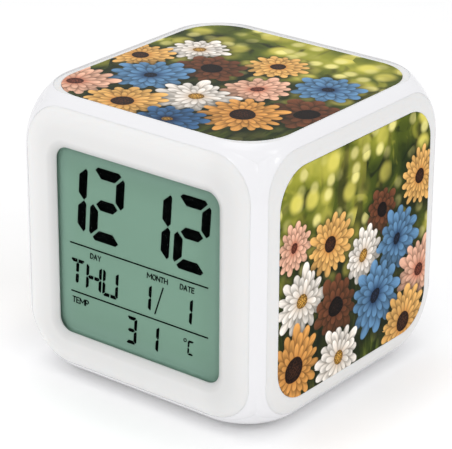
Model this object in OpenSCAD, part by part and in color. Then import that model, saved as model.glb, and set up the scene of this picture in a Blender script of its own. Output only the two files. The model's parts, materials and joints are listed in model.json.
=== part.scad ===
// Cube alarm clock with a liquid crystal display, picture plates on its sides and
// top, and a battery bay behind. Millimetres. The origin is at the middle of the
// resting face, +X is to the right seen from the front, -Y is the front, +Z is up.

/* [Case] */
// Width of the case
body_w = 80; // [78:0.5:90]
// Depth of the case
body_d = 80; // [78:0.5:90]
// Height of the case without its feet
body_h = 78; // [77:0.5:88]
// Rounding of the twelve edges
edge_r = 7.5; // [7:0.1:8.5]
// Rounding of the corners of each face
corner_r = 17.4; // [16.5:0.1:19]
// Thickness of the edge bars of the case
wall = 4.4; // [4:0.1:4.8]
// Thickness of the floor of the case
floor_t = 2.4; // [2.2:0.1:3]
// Corner rounding of the hollow inside, seen from above
hollow_r = 9; // [8:0.5:10]

/* [Inset panels] */
// Width of the case left bare beside a panel
side_bar = 4; // [3.5:0.1:4.5]
// Height of the case left bare above and below a panel
end_bar = 3.5; // [3.2:0.1:4]
// Corner rounding of a panel
panel_r = 12; // [11:0.1:13]
// Thickness of a panel
panel_t = 3; // [2.6:0.1:3.2]
// Width of the ledge that a panel seats on
ledge_w = 3.6; // [3.2:0.1:3.8]
// Corner rounding of the hole inside a ledge
ledge_r = 9; // [8:0.5:9.5]
// Gap between a panel and the case
panel_gap = 0.08; // [0.05:0.01:0.12]
// Height of the locating lip behind a side or top panel
lip_h = 1.5; // [1:0.1:2]
// Thickness of that lip
lip_t = 1.2; // [1:0.1:1.6]

/* [Pictures] */
// Thickness of a picture plate
picture_t = 1.2; // [1:0.1:1.4]
// Border left bare before and behind a side picture
side_border = 3.6; // [2:0.05:5]
// Border left bare above and below a side picture
end_border = 4.3; // [2:0.05:5]
// Corner rounding of a side picture
picture_r = 10; // [8:0.5:12]
// Border left bare round the top picture
top_border = 1.2; // [0.8:0.1:3]
// Corner rounding of the top picture
top_picture_r = 12.6; // [11:0.1:14]
// How far the flat top panel lies below the crest of the case
top_sink = 1.3; // [1.25:0.05:1.4]
// Gap between a picture plate and its pocket
picture_gap = 0.06; // [0.04:0.01:0.1]

/* [Display] */
// Width of the front panel beside the window
frame_side = 9.5; // [9:0.1:10]
// Height of the front panel above and below the window, on average
frame_end = 9.7; // [9.2:0.1:10]
// How far the window lies below the middle of the face
window_drop = 0.9; // [0:0.1:1.1]
// Corner rounding of the window
window_r = 3.8; // [3:0.1:4]
// Width of the bevel round the window
bevel_w = 1.7; // [1.4:0.1:2]
// Depth of the bevel
bevel_d = 1.1; // [0.9:0.1:1.2]
// Thickness of the web under the bevel that holds the lens
web_t = 0.4; // [0.3:0.1:0.5]
// Thickness of the clear lens
lens_t = 0.8; // [0.6:0.1:0.9]
// Overlap of the lens behind the web
lens_lap = 2.2; // [2:0.1:2.3]
// Air gap between the lens and the display cell
lens_gap = 0.2; // [0.15:0.05:0.25]
// Overlap of the display cell behind the window
cell_lap = 1.1; // [1:0.1:1.2]
// Thickness of the display cell
cell_t = 2; // [1.8:0.1:2.2]
// Thickness of the diffuser behind the cell
diffuser_t = 2; // [1.6:0.1:2.1]
// Thickness of the dark display segments
segment_t = 0.12; // [0.08:0.01:0.14]

/* [Display figures] */
// Height of a time figure, as a share of the window's height
time_h_share = 0.393; // [0.35:0.001:0.41]
// Width of a time figure, as a share of the window's width
time_w_share = 0.206; // [0.19:0.001:0.212]
// Stroke of a time figure, as a share of its width
time_stroke_share = 0.264; // [0.18:0.002:0.27]
// Distance from one time figure to the next, as a share of the window's width
time_pitch_share = 0.232; // [0.225:0.001:0.235]
// Height of a calendar figure, as a share of the window's height
date_h_share = 0.151; // [0.13:0.001:0.155]
// Width of a calendar letter, as a share of the window's width
letter_w_share = 0.097; // [0.08:0.001:0.1]
// Width of a calendar number, as a share of the window's width
number_w_share = 0.066; // [0.056:0.001:0.075]
// Stroke of a calendar figure, as a share of a number's width
date_stroke_share = 0.264; // [0.2:0.002:0.3]
// Distance from one calendar letter to the next, as a share of the window's width
letter_pitch_share = 0.106; // [0.1:0.001:0.11]
// Width of a printed line, as a share of the window's height
rule_share = 0.0065; // [0.004:0.0005:0.008]
// Height of a printed label, as a share of the window's height
label_h_share = 0.0262; // [0.024:0.0001:0.03]
// Mean width of a label letter, as a share of a label's height
label_w_share = 0.637; // [0.56:0.001:0.75]
// Distance from one letter of mean width to the next in a label, as a share of its width
label_pitch_share = 1.38; // [1.3:0.002:1.45]
// Stroke of a label letter, as a share of a label's height
label_stroke_share = 0.154; // [0.12:0.002:0.18]

/* [Rear controls] */
// Height of the control strip
strip_h = 10; // [9.4:0.1:10.4]
// Depth of the control strip
strip_d = 1.2; // [1:0.1:1.4]
// Corner rounding of the control strip
strip_r = 4.2; // [2:0.1:4.5]
// Diameter of a button cap
button_dia = 5.6; // [5:0.1:6]
// Travel of a button
button_travel = 0.5; // [0.3:0.05:0.6]
// Gap round a button in its hole
button_gap = 0.08; // [0.05:0.01:0.15]
// Travel of the light switch
slider_travel = 2; // [1.6:0.1:2.4]

/* [Battery bay] */
// Diameter of a battery cell
cell_dia = 10.4; // [10:0.1:10.5]
// Gap between one cell and the next
cell_gap = 0.4; // [0.3:0.05:0.5]
// Length of a contact spring with its cell in place
spring_len = 4.25; // [3.8:0.05:5]
// Space between the end of the bay and the opening of the case
bay_margin = 7.6; // [7.2:0.1:7.8]
// Wall of the battery tray
tray_wall = 1.2; // [1:0.1:1.3]
// Overlap of the battery door beyond each end of the bay
door_lap_w = 2.2; // [1.9:0.1:2.4]
// Overlap of the battery door above and below the bay
door_lap_h = 1.4; // [1.2:0.1:1.5]
// Thickness of the battery door
door_t = 1.6; // [1.4:0.1:1.8]
// How far the door lies below the rear face
door_sink = 0.5; // [0.4:0.1:0.7]
// Diameter of a door pin
pin_dia = 1.2; // [1:0.1:1.3]

/* [Feet and sound] */
// Height of a foot under the case
foot_h = 1.2; // [0.8:0.1:1.6]
// Diameter of a foot
foot_dia = 9; // [7:0.5:10]
// Distance from a side of the case to the middle of a foot
foot_inset = 14; // [13:0.5:16]
// Diameter of the speaker
speaker_dia = 28; // [24:0.5:30]
// Diameter of a sound hole
sound_hole_dia = 2; // [1.4:0.1:2.4]

/* [Hidden] */
$fn = 64;
over = 0.5;
touch_gap = 0.05;

// The middle height of the case, from which the faces are laid out
mid_z = foot_h + body_h / 2;
top_z = foot_h + body_h;

// Panels, and the openings behind them that their ledges leave
panel_w = body_w - 2 * side_bar;
panel_d = body_d - 2 * side_bar;
panel_h = body_h - 2 * end_bar;
opening_w = panel_w - 2 * ledge_w;
opening_h = panel_h - 2 * ledge_w;
picture_w = panel_d - 2 * side_border;
picture_h = panel_h - 2 * end_border;
window_w = panel_w - 2 * frame_side;
window_h = panel_h - 2 * frame_end;

// Depths below the front face
lens_front = bevel_d + web_t;
glass_front = lens_front + lens_t + lens_gap;
glass_back = glass_front + cell_t;
diffuser_back = glass_back + diffuser_t;
board_gap = 0.2;
board_front = diffuser_back + board_gap;
board_t = 1.6;
board_back = board_front + board_t;

// Display cell, its frame and the main board
glass_w = window_w + 2 * cell_lap;
glass_lap_h = 1.5;
glass_h = window_h + 2 * glass_lap_h;
glass_r = 0.8;
holder_gap = 0.2;
holder_side = 3.4;
holder_end = 2;
holder_w = glass_w + 2 * holder_side;
holder_h = glass_h + 2 * holder_end;
holder_r = 2;
zebra_w = 2.2;
zebra_end = 3;
zebra_len = glass_w - 2 * zebra_end;
front_ledge = 2.5;
front_hole_w = panel_w - 2 * front_ledge;
front_hole_h = panel_h - 2 * front_ledge;
front_hole_r = 10;
front_hole_d = 12;
board_side_gap = 0.5;
board_end_gap = 2;
board_w = front_hole_w - 2 * board_side_gap;
board_h = front_hole_h - 2 * board_end_gap;
board_r = 8;
post_inset = 2;
post_drop = 11;
post_x = board_w / 2 - post_inset;
post_y = board_h / 2 - post_drop;
post_dia = 4.4;
post_gap = 0.2;

// Small screws of both boards, and the screws of the rear cover
small_screw_dia = 2;
small_head_dia = 4;
small_head_h = 1.5;
small_screw_len = 4.6;
screw_gap = 0.05;
hole_gap = 0.12;
cover_screw_dia = 2.6;
cover_head_dia = 4.8;
cover_head_h = 1.4;
cover_sink = 0.8;
cover_screw_len = 11;
boss_dia = 6;
boss_floor = 0.4;
boss_len = cover_screw_len + boss_floor;
upper_screw_x = opening_w / 2 - boss_dia / 2;
upper_screw_y = opening_h / 2 - boss_dia / 2;
lower_screw_x = opening_w / 2 - boss_dia / 3;
slot_w = 0.8;
slot_d = 0.6;

// Rear face, seen from behind, as depths below the rear face
key_drop = 9.9;
key_y = opening_h / 2 - key_drop;
key_board_t = 1.2;
key_board_h = 7.4;
key_board_r = 1;
key_board_side = 2.1;
key_board_w = opening_w - 2 * key_board_side;
key_post_inset = 2.3;
key_post_x = key_board_w / 2 - key_post_inset;
key_post_dia = 3.5;
strip_end = 3.3;
strip_w = key_board_w - 2 * strip_end;
button_pitch_share = 0.375;
button_pitch = key_post_x * button_pitch_share;
cap_sink = 0.4;
flange_gap = 0.1;
flange_t = 1;
flange_lap = 0.5;
plunger_dia = 3.4;
plunger_proud = 0.8;
plunger_in = 1.6;
plunger_gap = 0.06;
stem_len = 0.95;
switch_w = 6;
switch_h = 3.6;
flange_top = panel_t + flange_gap;
stem_end = flange_top + flange_t + stem_len;
plunger_top = stem_end + touch_gap;
switch_top = plunger_top + plunger_proud;
key_board_top = switch_top + switch_h;
key_board_back = key_board_top + key_board_t;
button_x = [for (i = [0 : 3]) (i - 2) * button_pitch];

// Light switch
slider_x = 2 * button_pitch - slider_travel / 2;
knob_w = 3.6;
knob_h = 2.8;
knob_gap = 0.2;
slider_plate_w = 5;
slider_plate_h = 5;
slider_plate_t = 0.8;
slider_stem = 1.6;
slider_stem_in = 2;
slide_switch_w = 6.8;
slide_switch_h = 4.6;
slide_gap = 1;
slide_switch_top = flange_top + slider_plate_t + slide_gap;

// Battery bay: as many cells as the rear opening takes below the control strip
cell_pitch = cell_dia + cell_gap;
tray_margin = 0.9;
door_strip_gap = 1;
cell_room = key_y - strip_h / 2 + opening_h / 2 - tray_margin - 2 * tray_wall - door_strip_gap;
cells = floor(cell_room / cell_pitch);
bay_w = opening_w - 2 * bay_margin;
bay_h = cells * cell_pitch;
tray_w = bay_w + 2 * tray_wall;
tray_h = bay_h + 2 * tray_wall;
bay_y = tray_margin + tray_h / 2 - opening_h / 2;
door_w = bay_w + 2 * door_lap_w;
door_h = bay_h + 2 * door_lap_h;
door_back = door_sink + door_t;
cell_clear = 0.2;
cell_floor_gap = 0.1;
cell_axis = door_back + cell_clear + cell_dia / 2;
tray_floor = cell_axis + cell_dia / 2 + cell_floor_gap;
tray_floor_t = 1.4;
tray_back = tray_floor + tray_floor_t;
rib_t = 0.8;
rib_h = 2.4;
door_gap = 0.2;
door_r = 3;
pin_gap = 0.05;
pin_len = 1.6;
hinge_depth = door_sink + door_t / 2;
hinge_y = bay_y - door_h / 2 + door_t / 2;
nub_dia = 3.8;
nub_h = 0.8;
cell_edge = 0.5;
plate_t = 0.4;
plate_w = 8.6;
plate_h = 8.4;
cell_len = bay_w - 2 * plate_t - touch_gap - spring_len;
spring_wire = 0.6;
spring_turns = 3;
spring_big_r = 3.6;
spring_small_r = 2.4;
ring_steps = 12;
wire_sides = 6;
grip_n = 5;
grip_w = 14;
grip_t = 0.8;
grip_h = 0.3;
grip_pitch = 1.8;
grip_drop = 5.8;
grip_y = bay_y + door_h / 2 - grip_drop;
cover_screw_places = [[-upper_screw_x, upper_screw_y], [upper_screw_x, upper_screw_y],
    [-lower_screw_x, bay_y - cell_pitch], [lower_screw_x, bay_y - cell_pitch]];

// Floor, feet and speaker
foot_in = 0.8;
foot_gap = 0.08;
foot_x = body_w / 2 - foot_inset;
foot_y = body_d / 2 - foot_inset;
ring_share = 0.143;
basket_h = 3;
magnet_dia = 15;
magnet_h = 3;
cone_t = 0.6;
cone_gap = 0.8;
cone_lap = 1.6;
rim_h = 3;
rim_t = 1.3;
speaker_gap = 0.2;
floor_z = foot_h + floor_t;

// Parts on the main board: places are shares of half its width and height, from its middle
chip_dia = 13;
chip_h = 2;
chip_place_share = [0, 0.16];
crystal_dia = 3;
crystal_len = 8;
crystal_place_share = [0.36, 0.03];
capacitor_dia = 5;
capacitor_len = 7;
capacitor_places_share = [[-0.36, -0.1], [0.33, -0.74]];
resistor_size = [2, 1.25, 0.6];
resistor_places_share = [[-0.24, 0.45], [-0.12, 0.45], [0.12, 0.45], [0.24, 0.45], [-0.24, -0.32],
    [-0.09, -0.42], [0.12, -0.32], [0.61, 0.13], [-0.61, -0.26], [0.61, -0.26], [-0.3, 0.62],
    [0.55, 0.74]];
led_dia = 5;
led_flange = 0.4;
led_flange_t = 1;
led_body = 3.6;
led_places_share = [[-0.52, 0.48], [0.52, 0.48], [-0.52, -0.55], [0.52, -0.55]];
bead_dia = 2.6;
leg_dia = 0.5;
leg_len = 5;
leg_gap = 1.2;
sensor_place_share = [0.76, -0.78];
header_w = 11;
header_h = 5;
header_t = 5;
header_drop = 7.5;
header_y = board_h / 2 - header_drop;
ribbon_w = 8;
ribbon_t = 0.8;
ribbon_sag = 5;
ribbon_steps = 24;

// Wires: the points of each route, from where it starts to where it ends
lead_dia = 1.2;
lead_sides = 8;
lead_gap = 0.15;
positive_route = [[-20, 0, 46], [-20, 0.05, 46], [-20, 0.35, 42], [-21, 0.65, 41], [-22, 0.95, 44],
    [-22, 1, 44]];
negative_route = [[20, 0, 46], [20, 0.05, 46], [20, 0.35, 41], [21, 0.65, 40], [22, 0.95, 44],
    [22, 1, 44]];
lead_rise = 2.6;
speaker_lead_x = 2;
speaker_lead_y = -10.5;
speaker_lead_end = 19;

// Outline of a display segment, in strokes: the way in from the side of the figure
// and the way down from its top, for a bar, an upright and the middle bar
bar_shares = [[0.7, 0], [0.42, 0.28], [1.12, 1]];
upright_shares = [[0.2, 0.48], [0, 0.72]];
upright_inner_share = 1.14;
upright_w_share = 0.92;
upright_foot_shares = [[0, 0.45], [0.31, 0.12], [0.92, 0.69]];
long_foot_shares = [[0, 0.35], [0.28, 0.035], [0.92, 0.64]];
middle_shares = [[0.68, 0], [1.17, 0.5]];
slant_share = 0.075;

// Letters as strokes on a grid of a letter's mean width and its height
glyph_a_shares = [[[0, 0], [0.57, 1], [1.14, 0]], [[0.23, 0.35], [0.91, 0.35]]];
glyph_d_shares = [[[0, 0], [0, 1], [0.6, 1], [1, 0.7], [1, 0.3], [0.6, 0], [0, 0]]];
glyph_e_shares = [[[0.85, 0], [0, 0], [0, 1], [0.85, 1]], [[0, 0.52], [0.7, 0.52]]];
glyph_h_shares = [[[0, 0], [0, 1]], [[1.15, 0], [1.15, 1]], [[0, 0.5], [1.15, 0.5]]];
glyph_m_shares = [[[0, 0], [0, 1], [0.8, 0.3], [1.6, 1], [1.6, 0]]];
glyph_n_shares = [[[0, 0], [0, 1], [1.15, 0], [1.15, 1]]];
glyph_o_shares = [[[0.36, 0], [0, 0.34], [0, 0.66], [0.36, 1], [0.84, 1], [1.2, 0.66], [1.2, 0.34],
    [0.84, 0], [0.36, 0]]];
glyph_p_shares = [[[0, 0], [0, 1], [0.65, 1], [0.95, 0.82], [0.95, 0.6], [0.65, 0.42], [0, 0.42]]];
glyph_t_shares = [[[0, 1], [1, 1]], [[0.5, 0], [0.5, 1]]];
glyph_y_shares = [[[0, 1], [0.54, 0.5], [1.08, 1]], [[0.54, 0.5], [0.54, 0]]];

// Display figures, and the places of its rows as shares of the window from its middle
time_h = window_h * time_h_share;
time_w = window_w * time_w_share;
time_stroke = time_w * time_stroke_share;
time_pitch = window_w * time_pitch_share;
time_y_share = 0.239;
time_x_shares = [-0.4336, 0.0868];
date_h = window_h * date_h_share;
letter_w = window_w * letter_w_share;
number_w = window_w * number_w_share;
date_stroke = number_w * date_stroke_share;
letter_pitch = window_w * letter_pitch_share;
rule_t = window_h * rule_share;
label_h = window_h * label_h_share;
label_w = label_h * label_w_share;
label_stroke = label_h * label_stroke_share;
rule_y_shares = [-0.0114, -0.2763];
rule_x_shares = [-0.4381, 0.4126];
label_y_share = -0.0644;
label_x_shares = [-0.3123, 0.0458, 0.2472];
date_y_share = -0.169;
day_x_share = -0.3987;
month_x_share = 0.0362;
day_number_x_share = 0.2877;
slash_x_share = 0.1177;
slash_lean_share = 0.347;
temp_y_share = -0.3814;
temp_x_shares = [-0.057, 0.0802];
temp_label_place_share = [-0.4338, -0.3364];
temp_label_share = 1.12;
degree_place_share = [0.2768, -0.3302];
degree_r_share = 0.0096;
unit_place_share = [0.3111, -0.364];
unit_w_share = 0.037;
unit_h_share = 0.079;
unit_stroke_share = 0.26;

// Flat outline with rounded corners
module rounded_outline(w, h, r)
{
    square([w - 2 * r, h], center = true);
    square([w, h - 2 * r], center = true);
    for (x = [-1, 1], y = [-1, 1])
        translate([x * (w / 2 - r), y * (h / 2 - r)])
            circle(r);
}

// Slab from z = low to z = high
module slab(w, h, r, low, high)
{
    translate([0, 0, low])
        linear_extrude(high - low)
            rounded_outline(w, h, r);
}

// Section through a rounded block, w wide and d deep
module block_section(w, d)
{
    rounded_outline(w, d, edge_r);
}

// Half of the section through a corner of the block, from the corner's axis outward
module corner_section(d)
{
    translate([0, -d / 2])
        square([corner_r - edge_r, d]);
    translate([0, edge_r - d / 2])
        square([corner_r, d - 2 * edge_r]);
    for (y = [-1, 1])
        translate([corner_r - edge_r, y * (d / 2 - edge_r)])
            circle(edge_r);
}

// Block rounded on its two large faces, centred on the origin
module rounded_block(w, h, d)
{
    straight_w = w - 2 * corner_r;
    straight_h = h - 2 * corner_r;
    rotate([90, 0, 90])
        translate([0, 0, -straight_w / 2])
            linear_extrude(straight_w)
                block_section(h, d);
    rotate([90, 0, 0])
        translate([0, 0, -straight_h / 2])
            linear_extrude(straight_h)
                block_section(w, d);
    at_corners(straight_w / 2, straight_h / 2)
        rotate_extrude()
            corner_section(d);
}

// Outer form of the case: three rounded blocks that cross
module case_form()
{
    translate([0, 0, mid_z])
    {
        rounded_block(body_w, body_d, body_h);
        rotate([90, 0, 0])
            rounded_block(body_w, body_h, body_d);
        rotate([0, 90, 0])
            rounded_block(body_h, body_d, body_w);
    }
}

// Frames of the faces: x to the right as that face is seen, z outward
module on_front()
{
    translate([0, -body_d / 2, mid_z])
        rotate([90, 0, 0])
            children();
}

module on_window()
{
    on_front()
        translate([0, -window_drop, 0])
            children();
}

module on_rear()
{
    translate([0, body_d / 2, mid_z])
        rotate([90, 0, 180])
            children();
}

module on_right()
{
    translate([body_w / 2, 0, mid_z])
        rotate([90, 0, 90])
            children();
}

module on_left()
{
    translate([-body_w / 2, 0, mid_z])
        rotate([90, 0, -90])
            children();
}

module on_top()
{
    translate([0, 0, top_z])
        children();
}

// Skin of a face of size w by h, down to the depth t, cut to a rounded outline
module face_plate(w, h, plate_w, plate_h, plate_r, t)
{
    block_d = 2 * edge_r + 2 * panel_t;
    intersection()
    {
        translate([0, 0, -block_d / 2])
            rounded_block(w, h, block_d);
        slab(plate_w, plate_h, plate_r, -t, over);
    }
}

// Pocket and hole in the case for one panel
module panel_cut(w, h, hole_w, hole_h, hole_r, hole_d)
{
    slab(w + 2 * panel_gap, h + 2 * panel_gap, panel_r + panel_gap, -panel_t, over);
    slab(hole_w, hole_h, hole_r, -hole_d, -panel_t + over);
}

// The same with a ledge of the usual width
module ledge_cut(w, h)
{
    panel_cut(w, h, w - 2 * ledge_w, h - 2 * ledge_w, ledge_r, wall + over);
}

module at_corners(x_place, y_place)
{
    for (x = [-1, 1], y = [-1, 1])
        translate([x * x_place, y * y_place, 0])
            children();
}

module at_places(places)
{
    for (p = places)
        translate([p[0], p[1], 0])
            children();
}

// Holes in rings that let the sound out of the floor
module sound_holes()
{
    ring_gap = speaker_dia * ring_share;
    for (ring = [0 : 2], i = [0 : max(0, 6 * ring - 1)])
        rotate(ring == 0 ? 0 : i * 60 / ring)
            translate([ring * ring_gap, 0, foot_h - over])
                cylinder(h = floor_t + 2 * over, d = sound_hole_dia);
}

module outer_shell()
{
    color("white")
    difference()
    {
        union()
        {
            difference()
            {
                case_form();
                translate([0, 0, floor_z])
                    linear_extrude(body_h - floor_t - wall)
                        rounded_outline(body_w - 2 * wall, body_d - 2 * wall, hollow_r);
                on_front()
                    panel_cut(panel_w, panel_h, front_hole_w, front_hole_h, front_hole_r, front_hole_d);
                on_rear()
                    ledge_cut(panel_w, panel_h);
                on_right()
                    ledge_cut(panel_d, panel_h);
                on_left()
                    ledge_cut(panel_d, panel_h);
                on_top()
                    ledge_cut(panel_w, panel_d);
            }
            on_rear()
                at_places(cover_screw_places)
                    translate([0, 0, -panel_t - boss_len])
                        cylinder(h = boss_len, d = boss_dia);
            translate([0, 0, foot_h + floor_t / 2])
                difference()
                {
                    cylinder(h = floor_t / 2 + rim_h, d = speaker_dia + 2 * speaker_gap + 2 * rim_t);
                    translate([0, 0, floor_t / 2])
                        cylinder(h = rim_h + over, d = speaker_dia + 2 * speaker_gap);
                }
        }
        on_rear()
            at_places(cover_screw_places)
                translate([0, 0, -panel_t - cover_screw_len])
                    cylinder(h = cover_screw_len + over, d = cover_screw_dia + 2 * screw_gap);
        at_corners(foot_x, foot_y)
            translate([0, 0, foot_h - over])
                cylinder(h = foot_in + over, d = foot_dia + 2 * foot_gap);
        sound_holes();
    }
}

// Window with sloping sides: four cones and two crossed wedges
module bevel_cut()
{
    rim_r = window_r + bevel_w;
    straight_w = window_w - 2 * window_r;
    straight_h = window_h - 2 * window_r;
    at_corners(straight_w / 2, straight_h / 2)
        translate([0, 0, -bevel_d])
            cylinder(h = bevel_d, r1 = window_r, r2 = rim_r);
    rotate([90, 0, 0])
        translate([0, 0, -straight_h / 2])
            linear_extrude(straight_h)
                bevel_section(window_w / 2);
    rotate([90, 0, 90])
        translate([0, 0, -straight_w / 2])
            linear_extrude(straight_w)
                bevel_section(window_h / 2);
}

module bevel_section(half)
{
    polygon([[-half, -bevel_d], [half, -bevel_d], [half + bevel_w, 0], [-half - bevel_w, 0]]);
}

module front_panel()
{
    color("ivory")
    on_front()
    difference()
    {
        union()
        {
            face_plate(body_w, body_h, panel_w, panel_h, panel_r, panel_t);
            at_corners(post_x, post_y)
                translate([0, 0, -board_front])
                    cylinder(h = board_front - panel_t + over, d = post_dia);
        }
        translate([0, -window_drop, 0])
        {
            bevel_cut();
            slab(window_w, window_h, window_r, -panel_t - over, -bevel_d);
            slab(window_w + 2 * lens_lap + 2 * panel_gap, window_h + 2 * lens_lap + 2 * panel_gap,
                window_r, -panel_t - over, -lens_front);
        }
        at_corners(post_x, post_y)
            translate([0, 0, -board_front - over])
                cylinder(h = small_screw_len - board_t + over, d = small_screw_dia + 2 * screw_gap);
    }
}

// Locating lip behind a side or top panel
module panel_lip(plate_w, plate_h)
{
    lip_w = plate_w - 2 * ledge_w - 2 * panel_gap;
    lip_l = plate_h - 2 * ledge_w - 2 * panel_gap;
    difference()
    {
        slab(lip_w, lip_l, ledge_r, -panel_t - lip_h, -panel_t);
        slab(lip_w - 2 * lip_t, lip_l - 2 * lip_t, ledge_r - lip_t, -panel_t - lip_h - over,
            -panel_t + over);
    }
}

// Side panel: it follows the rounding of the case and has a pocket for its picture
module side_panel()
{
    color("ivory")
    {
        difference()
        {
            face_plate(body_d, body_h, panel_d, panel_h, panel_r, panel_t);
            slab(picture_w, picture_h, picture_r, -picture_t, over);
        }
        panel_lip(panel_d, panel_h);
    }
}

module right_panel()
{
    on_right()
        side_panel();
}

module left_panel()
{
    on_left()
        side_panel();
}

// Top panel: flat, and a little below the crest of the case
module top_panel()
{
    color("ivory")
    on_top()
    {
        difference()
        {
            slab(panel_w, panel_d, panel_r, -panel_t, -top_sink);
            slab(panel_w - 2 * top_border, panel_d - 2 * top_border, top_picture_r,
                -top_sink - picture_t, over);
        }
        panel_lip(panel_w, panel_d);
    }
}

module side_picture()
{
    color("olivedrab")
        face_plate(body_d, body_h, picture_w - 2 * picture_gap, picture_h - 2 * picture_gap,
            picture_r - picture_gap, picture_t);
}

module right_picture()
{
    on_right()
        side_picture();
}

module left_picture()
{
    on_left()
        side_picture();
}

module top_picture()
{
    border = top_border + picture_gap;
    color("olivedrab")
        on_top()
            slab(panel_w - 2 * border, panel_d - 2 * border, top_picture_r - picture_gap,
                -top_sink - picture_t, -top_sink);
}

module lcd_lens()
{
    color([0.9, 0.95, 0.95, 0.4])
        on_window()
            slab(window_w + 2 * lens_lap, window_h + 2 * lens_lap, window_r - panel_gap,
                -lens_front - lens_t, -lens_front);
}

module lcd_glass()
{
    color([0.48, 0.6, 0.53])
        on_window()
            slab(glass_w, glass_h, glass_r, -glass_back, -glass_front);
}

module lcd_diffuser()
{
    color("whitesmoke")
        on_window()
            slab(glass_w, glass_h - 2 * zebra_w - 2 * holder_gap, glass_r, -diffuser_back, -glass_back);
}

module lcd_holder()
{
    color("white")
    on_front()
    difference()
    {
        translate([0, -window_drop, 0])
            difference()
            {
                slab(holder_w, holder_h, holder_r, -board_front, -panel_t);
                slab(glass_w + 2 * holder_gap, glass_h + 2 * holder_gap, glass_r, -board_front - over,
                    -panel_t + over);
            }
        at_corners(post_x, post_y)
            translate([0, 0, -board_front - over])
                cylinder(h = board_front - panel_t + 2 * over, d = post_dia + 2 * post_gap);
    }
}

module zebra_strips()
{
    color("dimgray")
        on_window()
            for (y = [-1, 1])
                translate([-zebra_len / 2, y * (glass_h - zebra_w) / 2 - zebra_w / 2, -board_front])
                    cube([zebra_len, zebra_w, board_front - glass_back]);
}

// Display figures. A figure is centred on the origin, w wide and h high.
module top_bar(w, h, s)
{
    points = [for (p = bar_shares) [w / 2 - p[0] * s, h / 2 - p[1] * s]];
    mirrored = [for (i = [len(points) - 1 : -1 : 0]) [-points[i][0], points[i][1]]];
    polygon(concat(points, mirrored));
}

module upright(w, h, s, foot_shares)
{
    polygon(concat(
        [for (p = upright_shares) [w / 2 - p[0] * s, h / 2 - p[1] * s]],
        [for (p = foot_shares) [w / 2 - p[0] * s, p[1] * s]],
        [[w / 2 - upright_w_share * s, h / 2 - upright_inner_share * s]]));
}

module middle_bar(w, s)
{
    tip = w / 2 - middle_shares[0][0] * s;
    flat = w / 2 - middle_shares[1][0] * s;
    rise = middle_shares[1][1] * s;
    polygon([[tip, 0], [flat, rise], [-flat, rise], [-tip, 0], [-flat, -rise], [flat, -rise]]);
}

// Half of a bar, on the right of a letter's middle
module half_bar(w, h, s)
{
    intersection()
    {
        top_bar(w, h, s);
        translate([s / 4, 0])
            square([w, h]);
    }
}

module half_middle_bar(w, s)
{
    intersection()
    {
        middle_bar(w, s);
        translate([s / 4, -s])
            square([w, 2 * s]);
    }
}

module centre_upright(h, s)
{
    polygon([[0, h / 2 - s], [s / 2, h / 2 - 3 * s / 2], [s / 2, s / 2], [0, s / 4], [-s / 2, s / 2],
        [-s / 2, h / 2 - 3 * s / 2]]);
}

// The bars that are lit, named by their letters round the figure from the top. A one has
// its own longer uprights, B and C.
module figure(bars, w, h, s)
{
    multmatrix([[1, slant_share, 0, 0], [0, 1, 0, 0], [0, 0, 1, 0], [0, 0, 0, 1]])
    {
        if (search("a", bars) != [])
            top_bar(w, h, s);
        if (search("b", bars) != [])
            upright(w, h, s, upright_foot_shares);
        if (search("c", bars) != [])
            mirror([0, 1])
                upright(w, h, s, upright_foot_shares);
        if (search("B", bars) != [])
            upright(w, h, s, long_foot_shares);
        if (search("C", bars) != [])
            mirror([0, 1])
                upright(w, h, s, long_foot_shares);
        if (search("d", bars) != [])
            mirror([0, 1])
                top_bar(w, h, s);
        if (search("e", bars) != [])
            rotate(180)
                upright(w, h, s, upright_foot_shares);
        if (search("f", bars) != [])
            mirror([1, 0])
                upright(w, h, s, upright_foot_shares);
        if (search("g", bars) != [])
            middle_bar(w, s);
        if (search("A", bars) != [])
            for (side = [0, 1])
                mirror([side, 0])
                    half_bar(w, h, s);
        if (search("D", bars) != [])
            for (side = [0, 1])
                mirror([side, 0])
                    mirror([0, 1])
                        half_bar(w, h, s);
        if (search("G", bars) != [])
            for (side = [0, 1])
                mirror([side, 0])
                    half_middle_bar(w, s);
        if (search("I", bars) != [])
            for (half = [0, 1])
                mirror([0, half])
                    centre_upright(h, s);
    }
}

// One straight stroke of a printed line or letter
module stroke(a, b, s)
{
    run = b - a;
    translate(a)
        rotate(atan2(run[1], run[0]))
            translate([-s / 2, -s / 2])
                square([norm(run) + s, s]);
}

module label_letter(glyph)
{
    for (line = glyph, i = [1 : len(line) - 1])
        stroke([line[i - 1][0] * label_w, line[i - 1][1] * label_h],
            [line[i][0] * label_w, line[i][1] * label_h], label_stroke);
}

// Where letter i of a label starts, after the letters before it and the gaps between them
function glyph_share(glyph) = max([for (line = glyph, p = line) p[0]]);
function letter_start(glyphs, i) = i == 0 ? 0
    : letter_start(glyphs, i - 1) + label_w * (glyph_share(glyphs[i - 1]) + label_pitch_share - 1);

module label(glyphs)
{
    multmatrix([[1, slant_share, 0, 0], [0, 1, 0, 0], [0, 0, 1, 0], [0, 0, 0, 1]])
        for (i = [0 : len(glyphs) - 1])
            translate([letter_start(glyphs, i), 0])
                label_letter(glyphs[i]);
}

// Place on the display, as shares of the window's width and height
module at_share(x_share, y_share)
{
    translate([x_share * window_w, y_share * window_h])
        children();
}

module time_figures()
{
    for (x_share = time_x_shares)
        at_share(x_share, time_y_share)
        {
            figure("BC", time_w, time_h, time_stroke);
            translate([time_pitch, 0])
                figure("abged", time_w, time_h, time_stroke);
        }
}

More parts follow.
